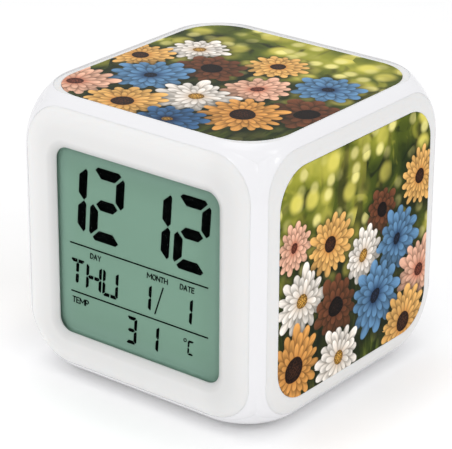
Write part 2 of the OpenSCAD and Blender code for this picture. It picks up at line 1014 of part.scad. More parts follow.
module calendar_row()
{
    letters = ["AI", "bcefG", "bcefD"];
    slash_lean = date_h * slash_lean_share;
    at_share(day_x_share, date_y_share)
        for (i = [0 : len(letters) - 1])
            translate([i * letter_pitch, 0])
                figure(letters[i], letter_w, date_h, date_stroke);
    for (x_share = [month_x_share, day_number_x_share])
        at_share(x_share, date_y_share)
            figure("BC", number_w, date_h, date_stroke);
    at_share(slash_x_share, date_y_share)
        stroke([-slash_lean / 2, -date_h / 2], [slash_lean / 2, date_h / 2], rule_t);
}

module temperature_row()
{
    degree_r = window_w * degree_r_share;
    unit_w = window_w * unit_w_share;
    at_share(temp_x_shares[0], temp_y_share)
        figure("abgcd", number_w, date_h, date_stroke);
    at_share(temp_x_shares[1], temp_y_share)
        figure("BC", number_w, date_h, date_stroke);
    at_share(degree_place_share[0], degree_place_share[1])
        difference()
        {
            circle(degree_r);
            circle(degree_r - label_stroke);
        }
    at_share(unit_place_share[0], unit_place_share[1])
        figure("adef", unit_w, window_h * unit_h_share, unit_w * unit_stroke_share);
}

module printed_lines()
{
    rule_x = window_w * rule_x_shares;
    for (y_share = rule_y_shares)
        stroke([rule_x[0], y_share * window_h], [rule_x[1], y_share * window_h], rule_t);
    day_label = [glyph_d_shares, glyph_a_shares, glyph_y_shares];
    month_label = [glyph_m_shares, glyph_o_shares, glyph_n_shares, glyph_t_shares, glyph_h_shares];
    date_label = [glyph_d_shares, glyph_a_shares, glyph_t_shares, glyph_e_shares];
    temp_label = [glyph_t_shares, glyph_e_shares, glyph_m_shares, glyph_p_shares];
    at_share(label_x_shares[0], label_y_share)
        label(day_label);
    at_share(label_x_shares[1], label_y_share)
        label(month_label);
    at_share(label_x_shares[2], label_y_share)
        label(date_label);
    at_share(temp_label_place_share[0], temp_label_place_share[1])
        scale([temp_label_share, temp_label_share])
            label(temp_label);
}

module lcd_segments()
{
    color("black")
    on_window()
        translate([0, 0, -glass_front])
            linear_extrude(segment_t)
            {
                time_figures();
                calendar_row();
                temperature_row();
                printed_lines();
            }
}

// Main board and what is on its back
module main_board()
{
    color("seagreen")
    on_front()
    difference()
    {
        slab(board_w, board_h, board_r, -board_back, -board_front);
        at_corners(post_x, post_y)
            translate([0, 0, -board_back - over])
                cylinder(h = board_t + 2 * over, d = small_screw_dia + 2 * hole_gap);
    }
}

// Pan head screw whose head rests on z = 0, with its shank going to +z
module screw(shank_dia, shank_len, head_dia, head_h)
{
    difference()
    {
        union()
        {
            translate([0, 0, -head_h])
                cylinder(h = head_h, d = head_dia);
            cylinder(h = shank_len, d = shank_dia);
        }
        for (turn = [0, 90])
            rotate(turn)
                translate([-head_dia / 3, -slot_w / 2, -head_h - over])
                    cube([2 * head_dia / 3, slot_w, slot_d + over]);
    }
}

module board_screws()
{
    color("silver")
        on_front()
            at_corners(post_x, post_y)
                translate([0, 0, -board_back])
                    screw(small_screw_dia, small_screw_len - screw_gap, small_head_dia, small_head_h);
}

// Place on the board's back: x as seen from the front, z away from the board
module on_board(share)
{
    on_front()
        translate([share[0] * board_w / 2, share[1] * board_h / 2, -board_back])
            mirror([0, 0, 1])
                children();
}

// Drop of potting over the clock chip: a cap of a sphere
module clock_chip()
{
    ball_r = (pow(chip_dia / 2, 2) + pow(chip_h, 2)) / (2 * chip_h);
    color("black")
    on_board(chip_place_share)
        intersection()
        {
            translate([0, 0, chip_h - ball_r])
                sphere(ball_r);
            cylinder(h = chip_h + over, d = chip_dia);
        }
}

module quartz_crystal()
{
    color("silver")
        on_board(crystal_place_share)
            cylinder(h = crystal_len, d = crystal_dia);
}

module capacitors()
{
    color("midnightblue")
        for (p = capacitor_places_share)
            on_board(p)
                cylinder(h = capacitor_len, d = capacitor_dia);
}

module chip_resistors()
{
    color("dimgray")
        for (p = resistor_places_share)
            on_board(p)
                translate([-resistor_size[0] / 2, -resistor_size[1] / 2, 0])
                    cube(resistor_size);
}

module colour_leds()
{
    color([0.95, 0.97, 1])
    for (p = led_places_share)
        on_board(p)
        {
            cylinder(h = led_flange_t, d = led_dia + 2 * led_flange);
            cylinder(h = led_flange_t + led_body, d = led_dia);
            translate([0, 0, led_flange_t + led_body])
                sphere(d = led_dia);
        }
}

module temperature_sensor()
{
    color("saddlebrown")
    on_board(sensor_place_share)
    {
        for (x = [-1, 1])
            translate([x * leg_gap / 2, 0, 0])
                cylinder(h = leg_len, d = leg_dia);
        translate([0, 0, leg_len])
            sphere(d = bead_dia);
    }
}

module ribbon_header()
{
    color("ivory")
        on_front()
            translate([-header_w / 2, header_y - header_h / 2, -board_back - header_t])
                cube([header_w, header_h, header_t]);
}

// Flat cable between the key board and the main board, sagging a little
module key_ribbon()
{
    start = [body_d / 2 - key_board_back, mid_z + key_y];
    end = [-body_d / 2 + board_back + header_t, mid_z + header_y];
    line = [for (i = [0 : ribbon_steps]) let (s = i / ribbon_steps)
        start + s * (end - start) - [0, ribbon_sag * pow(sin(180 * s), 2)]];
    upper = [for (p = line) p + [0, ribbon_t / 2]];
    lower = [for (i = [ribbon_steps : -1 : 0]) line[i] - [0, ribbon_t / 2]];
    color("lightgray")
        translate([-ribbon_w / 2, 0, 0])
            rotate([90, 0, 90])
                linear_extrude(ribbon_w)
                    polygon(concat(upper, lower));
}

// Rear cover, seen from behind
module rear_cover()
{
    color("white")
    on_rear()
    difference()
    {
        union()
        {
            face_plate(body_w, body_h, panel_w, panel_h, panel_r, panel_t);
            for (x = [-1, 1])
                translate([x * key_post_x, key_y, -key_board_top])
                    cylinder(h = key_board_top - panel_t + over, d = key_post_dia);
        }
        translate([0, bay_y, 0])
        {
            slab(door_w + 2 * door_gap, door_h + 2 * door_gap, door_r + door_gap, -door_back, over);
            slab(bay_w, bay_h, door_r - door_gap, -panel_t - over, -door_back + over);
        }
        translate([0, bay_y - door_h / 2 - door_gap, -door_back])
            translate([-door_w / 2 - door_gap, 0, 0])
                cube([door_w + 2 * door_gap, door_r + door_gap, door_back + over]);
        translate([0, hinge_y, -hinge_depth])
            rotate([0, 90, 0])
                cylinder(h = door_w + 2 * pin_len + 2 * door_gap, d = pin_dia + 2 * pin_gap,
                    center = true);
        translate([0, key_y, 0])
            slab(strip_w, strip_h, strip_r, -strip_d, over);
        for (x = button_x)
            translate([x, key_y, -panel_t - over])
                cylinder(h = panel_t + over, d = button_dia + 2 * button_gap);
        translate([slider_x - knob_w / 2 - knob_gap, key_y - knob_h / 2 - knob_gap, -panel_t - over])
            cube([knob_w + slider_travel + 2 * knob_gap, knob_h + 2 * knob_gap, panel_t + over]);
        for (x = [-1, 1])
            translate([x * key_post_x, key_y, -key_board_top - over])
                cylinder(h = small_screw_len - key_board_t + over, d = small_screw_dia + 2 * screw_gap);
        at_places(cover_screw_places)
        {
            translate([0, 0, -panel_t - over])
                cylinder(h = panel_t + 2 * over, d = cover_screw_dia + 2 * hole_gap);
            translate([0, 0, -cover_sink - cover_head_h])
                cylinder(h = cover_sink + cover_head_h + over, d = cover_head_dia + 2 * hole_gap);
        }
    }
}

module rear_screws()
{
    shank = cover_screw_len + panel_t - cover_sink - cover_head_h - 4 * screw_gap;
    color("silver")
        on_rear()
            at_places(cover_screw_places)
                translate([0, 0, -cover_sink - cover_head_h])
                    mirror([0, 0, 1])
                        screw(cover_screw_dia, shank, cover_head_dia, cover_head_h);
}

module key_board()
{
    color("seagreen")
    on_rear()
        difference()
        {
            translate([0, key_y, 0])
                slab(key_board_w, key_board_h, key_board_r, -key_board_back, -key_board_top);
            for (x = [-1, 1])
                translate([x * key_post_x, key_y, -key_board_back - over])
                    cylinder(h = key_board_t + 2 * over, d = small_screw_dia + 2 * hole_gap);
        }
}

module key_board_screws()
{
    color("silver")
        on_rear()
            for (x = [-1, 1])
                translate([x * key_post_x, key_y, -key_board_back])
                    screw(small_screw_dia, small_screw_len - screw_gap, small_head_dia, small_head_h);
}

module key_switches()
{
    color("dimgray")
    on_rear()
        for (x = button_x)
            translate([x, key_y, 0])
                difference()
                {
                    translate([-switch_w / 2, -switch_w / 2, -key_board_top])
                        cube([switch_w, switch_w, switch_h]);
                    translate([0, 0, -switch_top - plunger_in - button_travel - flange_gap])
                        cylinder(h = plunger_in + button_travel + flange_gap + over,
                            d = plunger_dia + 2 * plunger_gap);
                }
}

// Button cap with the flange that keeps it in and the stem that presses the switch
module button(i)
{
    color("whitesmoke")
    on_rear()
        translate([button_x[i], key_y, 0])
        {
            translate([0, 0, -flange_top - flange_t / 2])
                cylinder(h = flange_top + flange_t / 2 - cap_sink, d = button_dia);
            translate([0, 0, -flange_top - flange_t])
                cylinder(h = flange_t, d = button_dia + 2 * flange_lap);
            translate([0, 0, -stem_end])
                cylinder(h = stem_len + flange_t / 2, d = plunger_dia);
        }
}

module plunger(i)
{
    color("black")
        on_rear()
            translate([button_x[i], key_y, -switch_top - plunger_in])
                cylinder(h = plunger_proud + plunger_in, d = plunger_dia);
}

module light_switch()
{
    color("silver")
    on_rear()
        difference()
        {
            translate([slider_x + slider_travel / 2 - slide_switch_w / 2, key_y - slide_switch_h / 2,
                -key_board_top])
                cube([slide_switch_w, slide_switch_h, key_board_top - slide_switch_top]);
            translate([slider_x - slider_stem / 2 - knob_gap, key_y - slider_stem / 2 - knob_gap / 2,
                -slide_switch_top - slider_stem_in - knob_gap])
                cube([slider_stem + slider_travel + 2 * knob_gap, slider_stem + knob_gap,
                    slider_stem_in + knob_gap + over]);
        }
}

module light_switch_knob()
{
    plate_back = flange_top + slider_plate_t;
    color("whitesmoke")
    on_rear()
        translate([slider_x, key_y, 0])
        {
            translate([-knob_w / 2, -knob_h / 2, -flange_top - slider_plate_t / 2])
                cube([knob_w, knob_h, flange_top + slider_plate_t / 2 - cap_sink]);
            translate([-slider_plate_w / 2, -slider_plate_h / 2, -plate_back])
                cube([slider_plate_w, slider_plate_h, slider_plate_t]);
            translate([-slider_stem / 2, -slider_stem / 2, -slide_switch_top - slider_stem_in])
                cube([slider_stem, slider_stem, slide_switch_top + slider_stem_in - flange_top]);
        }
}

// Battery bay
module battery_tray()
{
    color("white")
    on_rear()
    translate([0, bay_y, 0])
    {
        difference()
        {
            slab(tray_w, tray_h, tray_wall, -tray_back, -panel_t);
            translate([-bay_w / 2, -bay_h / 2, -tray_floor])
                cube([bay_w, bay_h, tray_floor - panel_t + over]);
        }
        for (i = [1 : cells - 1])
            translate([-bay_w / 2, i * cell_pitch - bay_h / 2 - rib_t / 2, -tray_floor - tray_floor_t / 2])
                cube([bay_w, rib_t, rib_h + tray_floor_t / 2]);
    }
}

// Frame of one cell: x along the cell towards its nub, turned round on every other one
module on_cell(i)
{
    on_rear()
        translate([0, bay_y + (i - (cells - 1) / 2) * cell_pitch, -cell_axis])
            rotate(i % 2 == 0 ? 0 : 180)
                children();
}

module battery_cells()
{
    nub_end = bay_w / 2 - plate_t - touch_gap;
    color("goldenrod")
    for (i = [0 : cells - 1])
        on_cell(i)
            translate([nub_end, 0, 0])
                rotate([0, -90, 0])
                {
                    cylinder(h = nub_h + cell_edge, d = nub_dia);
                    translate([0, 0, nub_h])
                        cylinder(h = cell_edge, d1 = cell_dia - 2 * cell_edge, d2 = cell_dia);
                    translate([0, 0, nub_h + cell_edge])
                        cylinder(h = cell_len - nub_h - cell_edge, d = cell_dia);
                }
}

module contact_plates()
{
    color("silver")
        for (i = [0 : cells - 1], side = [0, 1])
            on_cell(i)
                mirror([side, 0, 0])
                    translate([bay_w / 2 - plate_t, -plate_h / 2, -plate_w / 2])
                        cube([plate_t, plate_h, plate_w]);
}

// Points of a ring of the given radius about a point, square to the direction "ahead"
function ring(centre, ahead, r, sides) =
    let (a = ahead / norm(ahead))
    let (side = abs(a[2]) < 0.9 ? cross(a, [0, 0, 1]) : cross(a, [1, 0, 0]))
    let (u = side / norm(side))
    let (v = cross(a, u))
    [for (k = [0 : sides - 1]) centre + r * cos(360 * k / sides) * u + r * sin(360 * k / sides) * v];

// Round wire along a list of points
module wire(points, r, sides)
{
    n = len(points);
    ahead = [for (i = [0 : n - 1]) points[min(i + 1, n - 1)] - points[max(i - 1, 0)]];
    rings = [for (i = [0 : n - 1]) each ring(points[i], ahead[i], r, sides)];
    walls = [for (i = [0 : n - 2], k = [0 : sides - 1])
        let (a = i * sides + k)
        let (b = i * sides + (k + 1) % sides)
        each [[a, b, a + sides], [b, b + sides, a + sides]]];
    near_end = [for (k = [1 : sides - 2]) [0, k + 1, k]];
    far_end = [for (k = [1 : sides - 2]) [0, k, k + 1] + (n - 1) * sides * [1, 1, 1]];
    polyhedron(concat(rings), concat(walls, near_end, far_end));
}

// Conical contact spring from its plate at z = 0 to the cell at z = length
module contact_spring(length)
{
    rise = length - spring_wire;
    last = spring_turns * ring_steps;
    wire([for (i = [0 : last]) let (s = i / last)
        let (r = spring_big_r + s * (spring_small_r - spring_big_r))
        [r * cos(360 * i / ring_steps), r * sin(360 * i / ring_steps), spring_wire / 2 + s * rise]],
        spring_wire / 2, wire_sides);
}

module contact_springs()
{
    color("silver")
        for (i = [0 : cells - 1])
            on_cell(i)
                translate([-bay_w / 2 + plate_t, 0, 0])
                    rotate([0, 90, 0])
                        contact_spring(spring_len);
}

// Door that turns on two pins at its lower edge
module battery_door()
{
    color("white")
    on_rear()
    {
        translate([0, bay_y, 0])
            difference()
            {
                slab(door_w, door_h, door_r, -door_back, -door_sink);
                translate([-door_w / 2 - over, -door_h / 2 - over, -door_back - over])
                    cube([door_w + 2 * over, door_t / 2 + over, door_t + 2 * over]);
            }
        translate([-door_w / 2, hinge_y, -door_back])
            cube([door_w, door_r, door_t]);
        translate([0, hinge_y, -hinge_depth])
            rotate([0, 90, 0])
            {
                cylinder(h = door_w, d = door_t, center = true);
                cylinder(h = door_w + 2 * pin_len, d = pin_dia, center = true);
            }
        for (i = [0 : grip_n - 1])
            translate([-grip_w / 2, grip_y - i * grip_pitch, -door_sink - grip_h])
                cube([grip_w, grip_t, 2 * grip_h]);
    }
}

// Speaker on the floor of the case, facing down
module speaker()
{
    color("dimgray")
    translate([0, 0, floor_z])
    {
        difference()
        {
            cylinder(h = basket_h, d = speaker_dia);
            translate([0, 0, -over])
                cylinder(h = basket_h - cone_gap + over, d = speaker_dia - 2 * cone_lap);
        }
        translate([0, 0, basket_h - cone_gap / 2])
            cylinder(h = magnet_h + cone_gap / 2, d = magnet_dia);
    }
}

module speaker_cone()
{
    cone_low = basket_h - cone_gap - cone_t;
    color("black")
        translate([0, 0, floor_z + cone_low])
            cylinder(h = cone_t, d = speaker_dia - 2 * cone_lap - 2 * touch_gap);
}

module rubber_feet()
{
    color("dimgray")
        at_corners(foot_x, foot_y)
            cylinder(h = foot_h + foot_in, d = foot_dia);
}

// Route of a battery lead: x, share of the way from the tray to the board, height
function lead_route(points) =
    let (from = body_d / 2 - tray_back - lead_gap)
    let (to = -body_d / 2 + board_back + lead_gap)
    [for (p = points) [p[0], from + p[1] * (to - from), p[2]]];

// Points along a route, with straight ends and eased bends
function eased(points, steps) =
    let (n = len(points))
    concat([for (i = [0 : n - 2], k = [0 : steps - 1])
        let (s = k / steps)
        let (a = points[max(i - 1, 0)])
        let (b = points[i])
        let (c = points[i + 1])
        let (d = points[min(i + 2, n - 1)])
        0.5 * ((2 * b) + (c - a) * s + (2 * a - 5 * b + 4 * c - d) * s * s
            + (3 * b - a - 3 * c + d) * s * s * s)], [points[n - 1]]);

module positive_lead()
{
    color("firebrick")
        wire(eased(lead_route(positive_route), 5), lead_dia / 2, lead_sides);
}

module negative_lead()
{
    color("black")
        wire(eased(lead_route(negative_route), 5), lead_dia / 2, lead_sides);
}

module speaker_leads()
{
    start_z = floor_z + basket_h + lead_gap;
    end_y = -body_d / 2 + board_back + lead_gap;
    color("dimgray")
        for (side = [-1, 1])
            wire(eased([
                [side * speaker_lead_x, speaker_lead_y, start_z],
                [side * speaker_lead_x, speaker_lead_y, start_z + lead_rise],
                [side * speaker_lead_x, (speaker_lead_y + end_y) / 2, speaker_lead_end - lead_rise],
                [side * speaker_lead_x, end_y + lead_rise, speaker_lead_end],
                [side * speaker_lead_x, end_y, speaker_lead_end]], 5), lead_dia / 2, lead_sides);
}

outer_shell();
front_panel();
right_panel();
left_panel();
top_panel();
right_picture();
left_picture();
top_picture();
lcd_lens();
lcd_glass();
lcd_segments();
lcd_diffuser();
lcd_holder();
zebra_strips();
main_board();
board_screws();
clock_chip();
quartz_crystal();
capacitors();
chip_resistors();
colour_leds();
temperature_sensor();
ribbon_header();
key_ribbon();
rear_cover();
rear_screws();
key_board();
key_board_screws();
key_switches();
button(0);  // set_button
button(1);  // up_button
button(2);  // down_button
button(3);  // light_button
plunger(0);  // set_plunger
plunger(1);  // up_plunger
plunger(2);  // down_plunger
plunger(3);  // light_plunger
light_switch();
light_switch_knob();
battery_tray();
battery_cells();
contact_plates();
contact_springs();
battery_door();
speaker();
speaker_cone();
positive_lead();
negative_lead();
speaker_leads();
rubber_feet();
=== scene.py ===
import json
import math

import bmesh
import bpy
from mathutils import Matrix, Vector


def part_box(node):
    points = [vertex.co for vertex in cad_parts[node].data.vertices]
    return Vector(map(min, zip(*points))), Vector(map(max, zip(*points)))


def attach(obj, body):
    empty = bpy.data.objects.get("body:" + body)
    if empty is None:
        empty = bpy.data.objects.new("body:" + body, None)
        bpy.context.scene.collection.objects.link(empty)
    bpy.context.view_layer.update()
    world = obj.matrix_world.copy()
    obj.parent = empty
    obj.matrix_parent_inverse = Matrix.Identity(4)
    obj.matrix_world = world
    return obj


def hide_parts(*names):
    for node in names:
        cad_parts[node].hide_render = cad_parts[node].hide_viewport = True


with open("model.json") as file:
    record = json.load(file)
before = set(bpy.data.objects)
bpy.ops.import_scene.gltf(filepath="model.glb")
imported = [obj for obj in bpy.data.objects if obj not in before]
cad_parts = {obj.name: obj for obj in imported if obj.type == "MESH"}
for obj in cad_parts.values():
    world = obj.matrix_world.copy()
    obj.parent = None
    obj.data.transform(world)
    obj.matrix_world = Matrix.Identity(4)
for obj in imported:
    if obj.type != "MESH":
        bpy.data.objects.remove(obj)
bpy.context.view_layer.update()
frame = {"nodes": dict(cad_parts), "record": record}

MM = 0.001
nodes = frame["nodes"]
record = frame["record"]
scene = bpy.context.scene

# Sizes of the case and its panels in millimetres, as in the part's source
BODY_W, BODY_D, BODY_H, FOOT_H = 80.0, 80.0, 78.0, 1.2
EDGE_R, CORNER_R = 7.5, 17.4
PANEL_W, PANEL_D, PANEL_H, PANEL_R, PANEL_T = 72.0, 72.0, 71.0, 12.0, 3.0
WINDOW_W, WINDOW_H, WINDOW_R, WINDOW_DROP = 53.0, 51.6, 3.8, 0.9
LENS_FRONT, LENS_LAP = 1.5, 2.28
SIDE_W, SIDE_H, SIDE_R = 64.8, 62.4, 10.0
TOP_W, TOP_D, TOP_R, TOP_SINK = 69.6, 69.6, 12.6, 1.3
PICTURE_T = 1.2
LEDGE_W, LEDGE_R, LIP_H, LIP_T, GAP = 3.6, 9.0, 1.5, 1.2, 0.08
# What the panels' faces grow by, so that only a seam is left of the gap around them
CLOSE = 0.07
MID_Z, TOP_Z = FOOT_H + BODY_H / 2, FOOT_H + BODY_H
WINDOW_Z = MID_Z - WINDOW_DROP
TAU = 2 * math.pi


# Shader nodes

def srgb(r, g, b):
    """Linear colour from the levels 0 to 255 that a screen shows."""
    return tuple((c / 255 / 12.92) if c <= 10 else ((c / 255 + 0.055) / 1.055) ** 2.4 for c in (r, g, b))


def tone(c, k):
    """A colour times k, no channel above one."""
    return tuple(min(1.0, x * k) for x in c)


def is_socket(v):
    """Whether a value comes out of a node."""
    return isinstance(v, bpy.types.NodeSocket)


class Graph:
    """A node tree, with short ways to add and join nodes."""

    def __init__(self, tree):
        self.tree = tree

    def add(self, kind, **props):
        """A new node with its properties set."""
        n = self.tree.nodes.new(kind)
        for k, v in props.items():
            setattr(n, k, v)
        return n

    def join(self, a, b):
        self.tree.links.new(a, b)

    def feed(self, socket, value):
        """Gives a socket a link, a value or, for None, nothing."""
        if is_socket(value):
            self.join(value, socket)
        elif value is not None:
            if socket.type == "RGBA" and len(value) == 3:
                value = (*value, 1.0)
            socket.default_value = value

    def math(self, op, a, b=None, c=None):
        """A number from one, two or three others."""
        n = self.add("ShaderNodeMath", operation=op)
        for s, v in zip(n.inputs, (a, b, c)):
            self.feed(s, v)
        return n.outputs[0]

    def vec(self, op, a, b=None):
        n = self.add("ShaderNodeVectorMath", operation=op)
        self.feed(n.inputs[0], a)
        if b is not None:
            self.feed(n.inputs["Scale"] if op == "SCALE" else n.inputs[1], b)
        return n.outputs["Value"] if op in ("LENGTH", "DOT_PRODUCT", "DISTANCE") else n.outputs[0]

    def split(self, v):
        n = self.add("ShaderNodeSeparateXYZ")
        self.join(v, n.inputs[0])
        return n.outputs

    def merge(self, x=0.0, y=0.0, z=0.0):
        n = self.add("ShaderNodeCombineXYZ")
        for s, v in zip(n.inputs, (x, y, z)):
            self.feed(s, v)
        return n.outputs[0]

    def noise(self, at, scale, detail=3.0, rough=0.5, distort=0.0):
        n = self.add("ShaderNodeTexNoise")
        self.join(at, n.inputs["Vector"])
        for k, v in (("Scale", scale), ("Detail", detail), ("Roughness", rough), ("Distortion", distort)):
            n.inputs[k].default_value = v
        return n.outputs[0]

    def cells(self, at, scale, feature="F1", random=1.0):
        """Voronoi cells in the plane."""
        n = self.add("ShaderNodeTexVoronoi", feature=feature, voronoi_dimensions="2D")
        self.join(at, n.inputs["Vector"])
        n.inputs["Scale"].default_value = scale
        n.inputs["Randomness"].default_value = random
        return n

    def ramp(self, value, stops):
        """A colour from a table of (share, colour)."""
        n = self.add("ShaderNodeValToRGB")
        e = n.color_ramp.elements
        while len(e) > 1:
            e.remove(e[-1])
        for i, (at, colour) in enumerate(stops):
            s = e[0] if i == 0 else e.new(at)
            s.position = at
            s.color = (*colour, 1.0)
        self.join(value, n.inputs[0])
        return n.outputs[0]

    def span(self, value, low, high, to_low=0.0, to_high=1.0, smooth=True):
        """A number that goes from to_low to to_high while value goes from low to high."""
        n = self.add("ShaderNodeMapRange", clamp=True)
        n.interpolation_type = "SMOOTHSTEP" if smooth else "LINEAR"
        for s, v in zip(n.inputs, (value, low, high, to_low, to_high)):
            self.feed(s, v)
        return n.outputs[0]

    def mix(self, share, a, b):
        """Colour a, b, or between them."""
        n = self.add("ShaderNodeMix", data_type="RGBA")
        colours = [s for s in n.inputs if s.type == "RGBA"]
        self.feed(n.inputs["Factor"], share)
        self.feed(colours[0], a)
        self.feed(colours[1], b)
        return next(s for s in n.outputs if s.type == "RGBA")

    def waves(self, along, pitch):
        """A sine with one wave to each pitch."""
        return self.math("SINE", self.math("MULTIPLY", along, TAU / pitch))

    def over(self, value, limit):
        return self.math("GREATER_THAN", value, limit)

    def product(self, first, *others):
        for value in others:
            first = self.math("MULTIPLY", first, value)
        return first

    def shaded(self, colour, value):
        """A colour times a number."""
        return self.vec("MULTIPLY", colour, self.merge(value, value, value))

    def depth(self, u, v, w, h, r):
        """How far inside a rounded outline a place lies, below zero outside it."""
        a = self.math("SUBTRACT", self.math("ABSOLUTE", u), (w / 2 - r) * MM)
        b = self.math("SUBTRACT", self.math("ABSOLUTE", v), (h / 2 - r) * MM)
        over = self.vec("LENGTH", self.merge(self.math("MAXIMUM", a, 0.0), self.math("MAXIMUM", b, 0.0)))
        under = self.math("MINIMUM", self.math("MAXIMUM", a, b), 0.0)
        return self.math("SUBTRACT", r * MM, self.math("ADD", over, under))

    def after(self, value, earlier):
        """The vector unchanged, but worked out after the other, so that a long chain needs little memory."""
        return self.vec("ADD", value, self.vec("SCALE", earlier, 1e-9))

    def bump(self, height, strength, distance, under=None):
        """Normals of a relief, on top of the normals under it."""
        n = self.add("ShaderNodeBump")
        n.inputs["Strength"].default_value = strength
        n.inputs["Distance"].default_value = distance
        self.join(height, n.inputs["Height"])
        self.feed(n.inputs["Normal"], under)
        return n.outputs[0]

    def use(self, group, **values):
        """A node group. A space in an input's name is written _."""
        n = self.add("ShaderNodeGroup")
        n.node_tree = group
        for k, v in values.items():
            self.feed(n.inputs[k.replace("_", " ")], v)
        return n.outputs[0]


class Shader(Graph):
    """A material. place holds the frame's own coordinates in metres."""

    def __init__(self, name):
        self.name = name
        self.mat = bpy.data.materials.new(name)
        self.mat.use_nodes = True
        super().__init__(self.mat.node_tree)
        self.tree.nodes.clear()
        self.out = self.add("ShaderNodeOutputMaterial")
        self.bsdf = self.add("ShaderNodeBsdfPrincipled")
        self.join(self.bsdf.outputs[0], self.out.inputs["Surface"])
        self.place = self.add("ShaderNodeTexCoord").outputs["Object"]

    def normal(self):
        """The face's own direction, as three numbers."""
        return self.split(self.add("ShaderNodeNewGeometry").outputs["True Normal"])

    def set(self, **values):
        """Values or links for the shader's own sockets. A space in a socket's name is written _."""
        for k, v in values.items():
            self.feed(self.bsdf.inputs[k.replace("_", " ")], v)
        return self


class Group(Graph):
    """A node group. Inputs is a dict of name: F, V or C for a number, vector or colour."""

    def __init__(self, name, inputs):
        tree = bpy.data.node_groups.new(name, "ShaderNodeTree")
        kinds = {"F": "NodeSocketFloat", "V": "NodeSocketVector", "C": "NodeSocketColor"}
        for k, kind in inputs.items():
            tree.interface.new_socket(k, in_out="INPUT", socket_type=kinds[kind])
        tree.interface.new_socket("Colour", in_out="OUTPUT", socket_type="NodeSocketColor")
        super().__init__(tree)
        self.got = self.add("NodeGroupInput").outputs
        self.give = self.add("NodeGroupOutput").inputs


# Plain materials

# Scales of noise, in cells per metre, and depths of relief in metres
CLOUD, FLECK, SMEAR, WAVE, BRUSHED, SPOT = 60.0, 900.0, 380.0, 34.0, 900.0, 260.0
WAVE_DEPTH, GRAIN_DEPTH, BRUSH_DEPTH = 0.8 * MM, 0.03 * MM, 0.02 * MM
# The part of a noise's values that a change of gloss is spread over
LOW, HIGH = 0.3, 0.7
PLASTIC_IOR, BLEED = 1.5, 1.5 * MM


def plastic(name, colour=None, rough=None, vary=0.02, grain=0.0, grain_size=0.25, wave=0.0, coat=0.0,
            soft=0.0, specular=0.5, polish=None):
    """Moulded plastic: slow changes of tone, gloss that varies a little, a fine grain and a slow waviness.

    Without colour or rough, the caller sets its own. polish makes the normals that the relief lies on.
    """
    s = Shader(name)
    if colour:
        cloud, fleck = s.noise(s.place, CLOUD, 4.0), s.noise(s.place, FLECK, 2.0)
        s.set(Base_Color=s.mix(s.math("MULTIPLY_ADD", fleck, 0.25, s.math("MULTIPLY", cloud, 0.75)),
                               tone(colour, 1 - vary), tone(colour, 1 + vary)))
    if rough:
        s.set(Roughness=s.span(s.noise(s.place, SMEAR, 4.0), LOW, HIGH, rough * 0.85, rough * 1.15))
    s.set(IOR=PLASTIC_IOR, Specular_IOR_Level=specular)
    if coat:
        s.set(Coat_Weight=coat, Coat_Roughness=0.07)
    if soft:
        s.set(Subsurface_Weight=soft, Subsurface_Radius=(1.0, 0.85, 0.75), Subsurface_Scale=BLEED)
    normal = polish(s) if polish else None
    if wave:
        normal = s.bump(s.noise(s.place, WAVE, 1.0), wave, WAVE_DEPTH, normal)
    if grain:
        normal = s.bump(s.noise(s.place, 1.0 / (grain_size * MM), 2.0), grain, GRAIN_DEPTH, normal)
    return s.set(Normal=normal)


def metal(name, colour, rough=0.3, streak=(1.0, 1.0, 12.0), vary=0.12, pits=0.0):
    """Metal with fine rolling or brushing marks along one direction, and duller spots."""
    s = Shader(name)
    lines = s.noise(s.vec("MULTIPLY", s.place, streak), BRUSHED, 4.0, 0.6)
    spots = s.noise(s.place, SPOT, 4.0, 0.6)
    s.set(Base_Color=s.mix(s.span(spots, 0.35, 0.7), tone(colour, 1 + vary), tone(colour, 1 - vary)))
    duller = s.span(spots, 0.4, 0.8, rough * 0.5, rough * 1.1)
    s.set(Metallic=1.0, Roughness=s.math("MULTIPLY_ADD", lines, rough * 0.7, duller))
    return s.set(Normal=s.bump(lines, 0.25 + pits, BRUSH_DEPTH))


materials = {}


def keep(*shaders):
    """Keeps materials by their names."""
    for shader in shaders:
        materials[shader.name] = shader.mat


def corners(s):
    """Normals of the case: the creases where three edges meet are polished round, clear of the openings."""
    near, far, radius = 2.0 * MM, 6.0 * MM, 3.0 * MM
    x, y, z = s.split(s.place)
    up = s.math("SUBTRACT", z, MID_Z * MM)
    front, side = s.depth(x, up, PANEL_W, PANEL_H, PANEL_R), s.depth(y, up, PANEL_D, PANEL_H, PANEL_R)
    inside = s.math("MAXIMUM", s.math("MAXIMUM", front, side), s.depth(x, y, PANEL_W, PANEL_D, PANEL_R))
    polish = s.add("ShaderNodeBevel", samples=8)
    s.feed(polish.inputs["Radius"], s.span(inside, -far, -near, radius, 0.0, smooth=False))
    return polish.outputs[0]


keep(plastic("shell_white", (0.82, 0.817, 0.835), 0.22, 0.008, grain=0.05, wave=0.06, coat=0.2, specular=0.4,
             polish=corners))
keep(plastic("milky_panel", (0.77, 0.765, 0.757), 0.33, 0.01, grain=0.06, wave=0.05, soft=0.35))
keep(plastic("inner_white", (0.82, 0.82, 0.80), 0.5, 0.03, grain=0.25, grain_size=0.3))
keep(plastic("cover_white", (0.85, 0.848, 0.865), 0.42, 0.015, grain=0.5, grain_size=0.22, wave=0.04))
keep(plastic("button_white", (0.80, 0.80, 0.80), 0.34, 0.015, grain=0.12, wave=0.03))
keep(plastic("diffuser", (0.88, 0.89, 0.90), 0.45, 0.015, grain=0.2, soft=0.5))
keep(plastic("potting_black", (0.012, 0.012, 0.013), 0.22, 0.2, grain=0.3, grain_size=1.6, coat=0.4))
keep(plastic("switch_body", (0.035, 0.035, 0.04), 0.5, 0.12, grain=0.35))
keep(plastic("plunger_black", (0.02, 0.02, 0.02), 0.45, 0.12, grain=0.3))
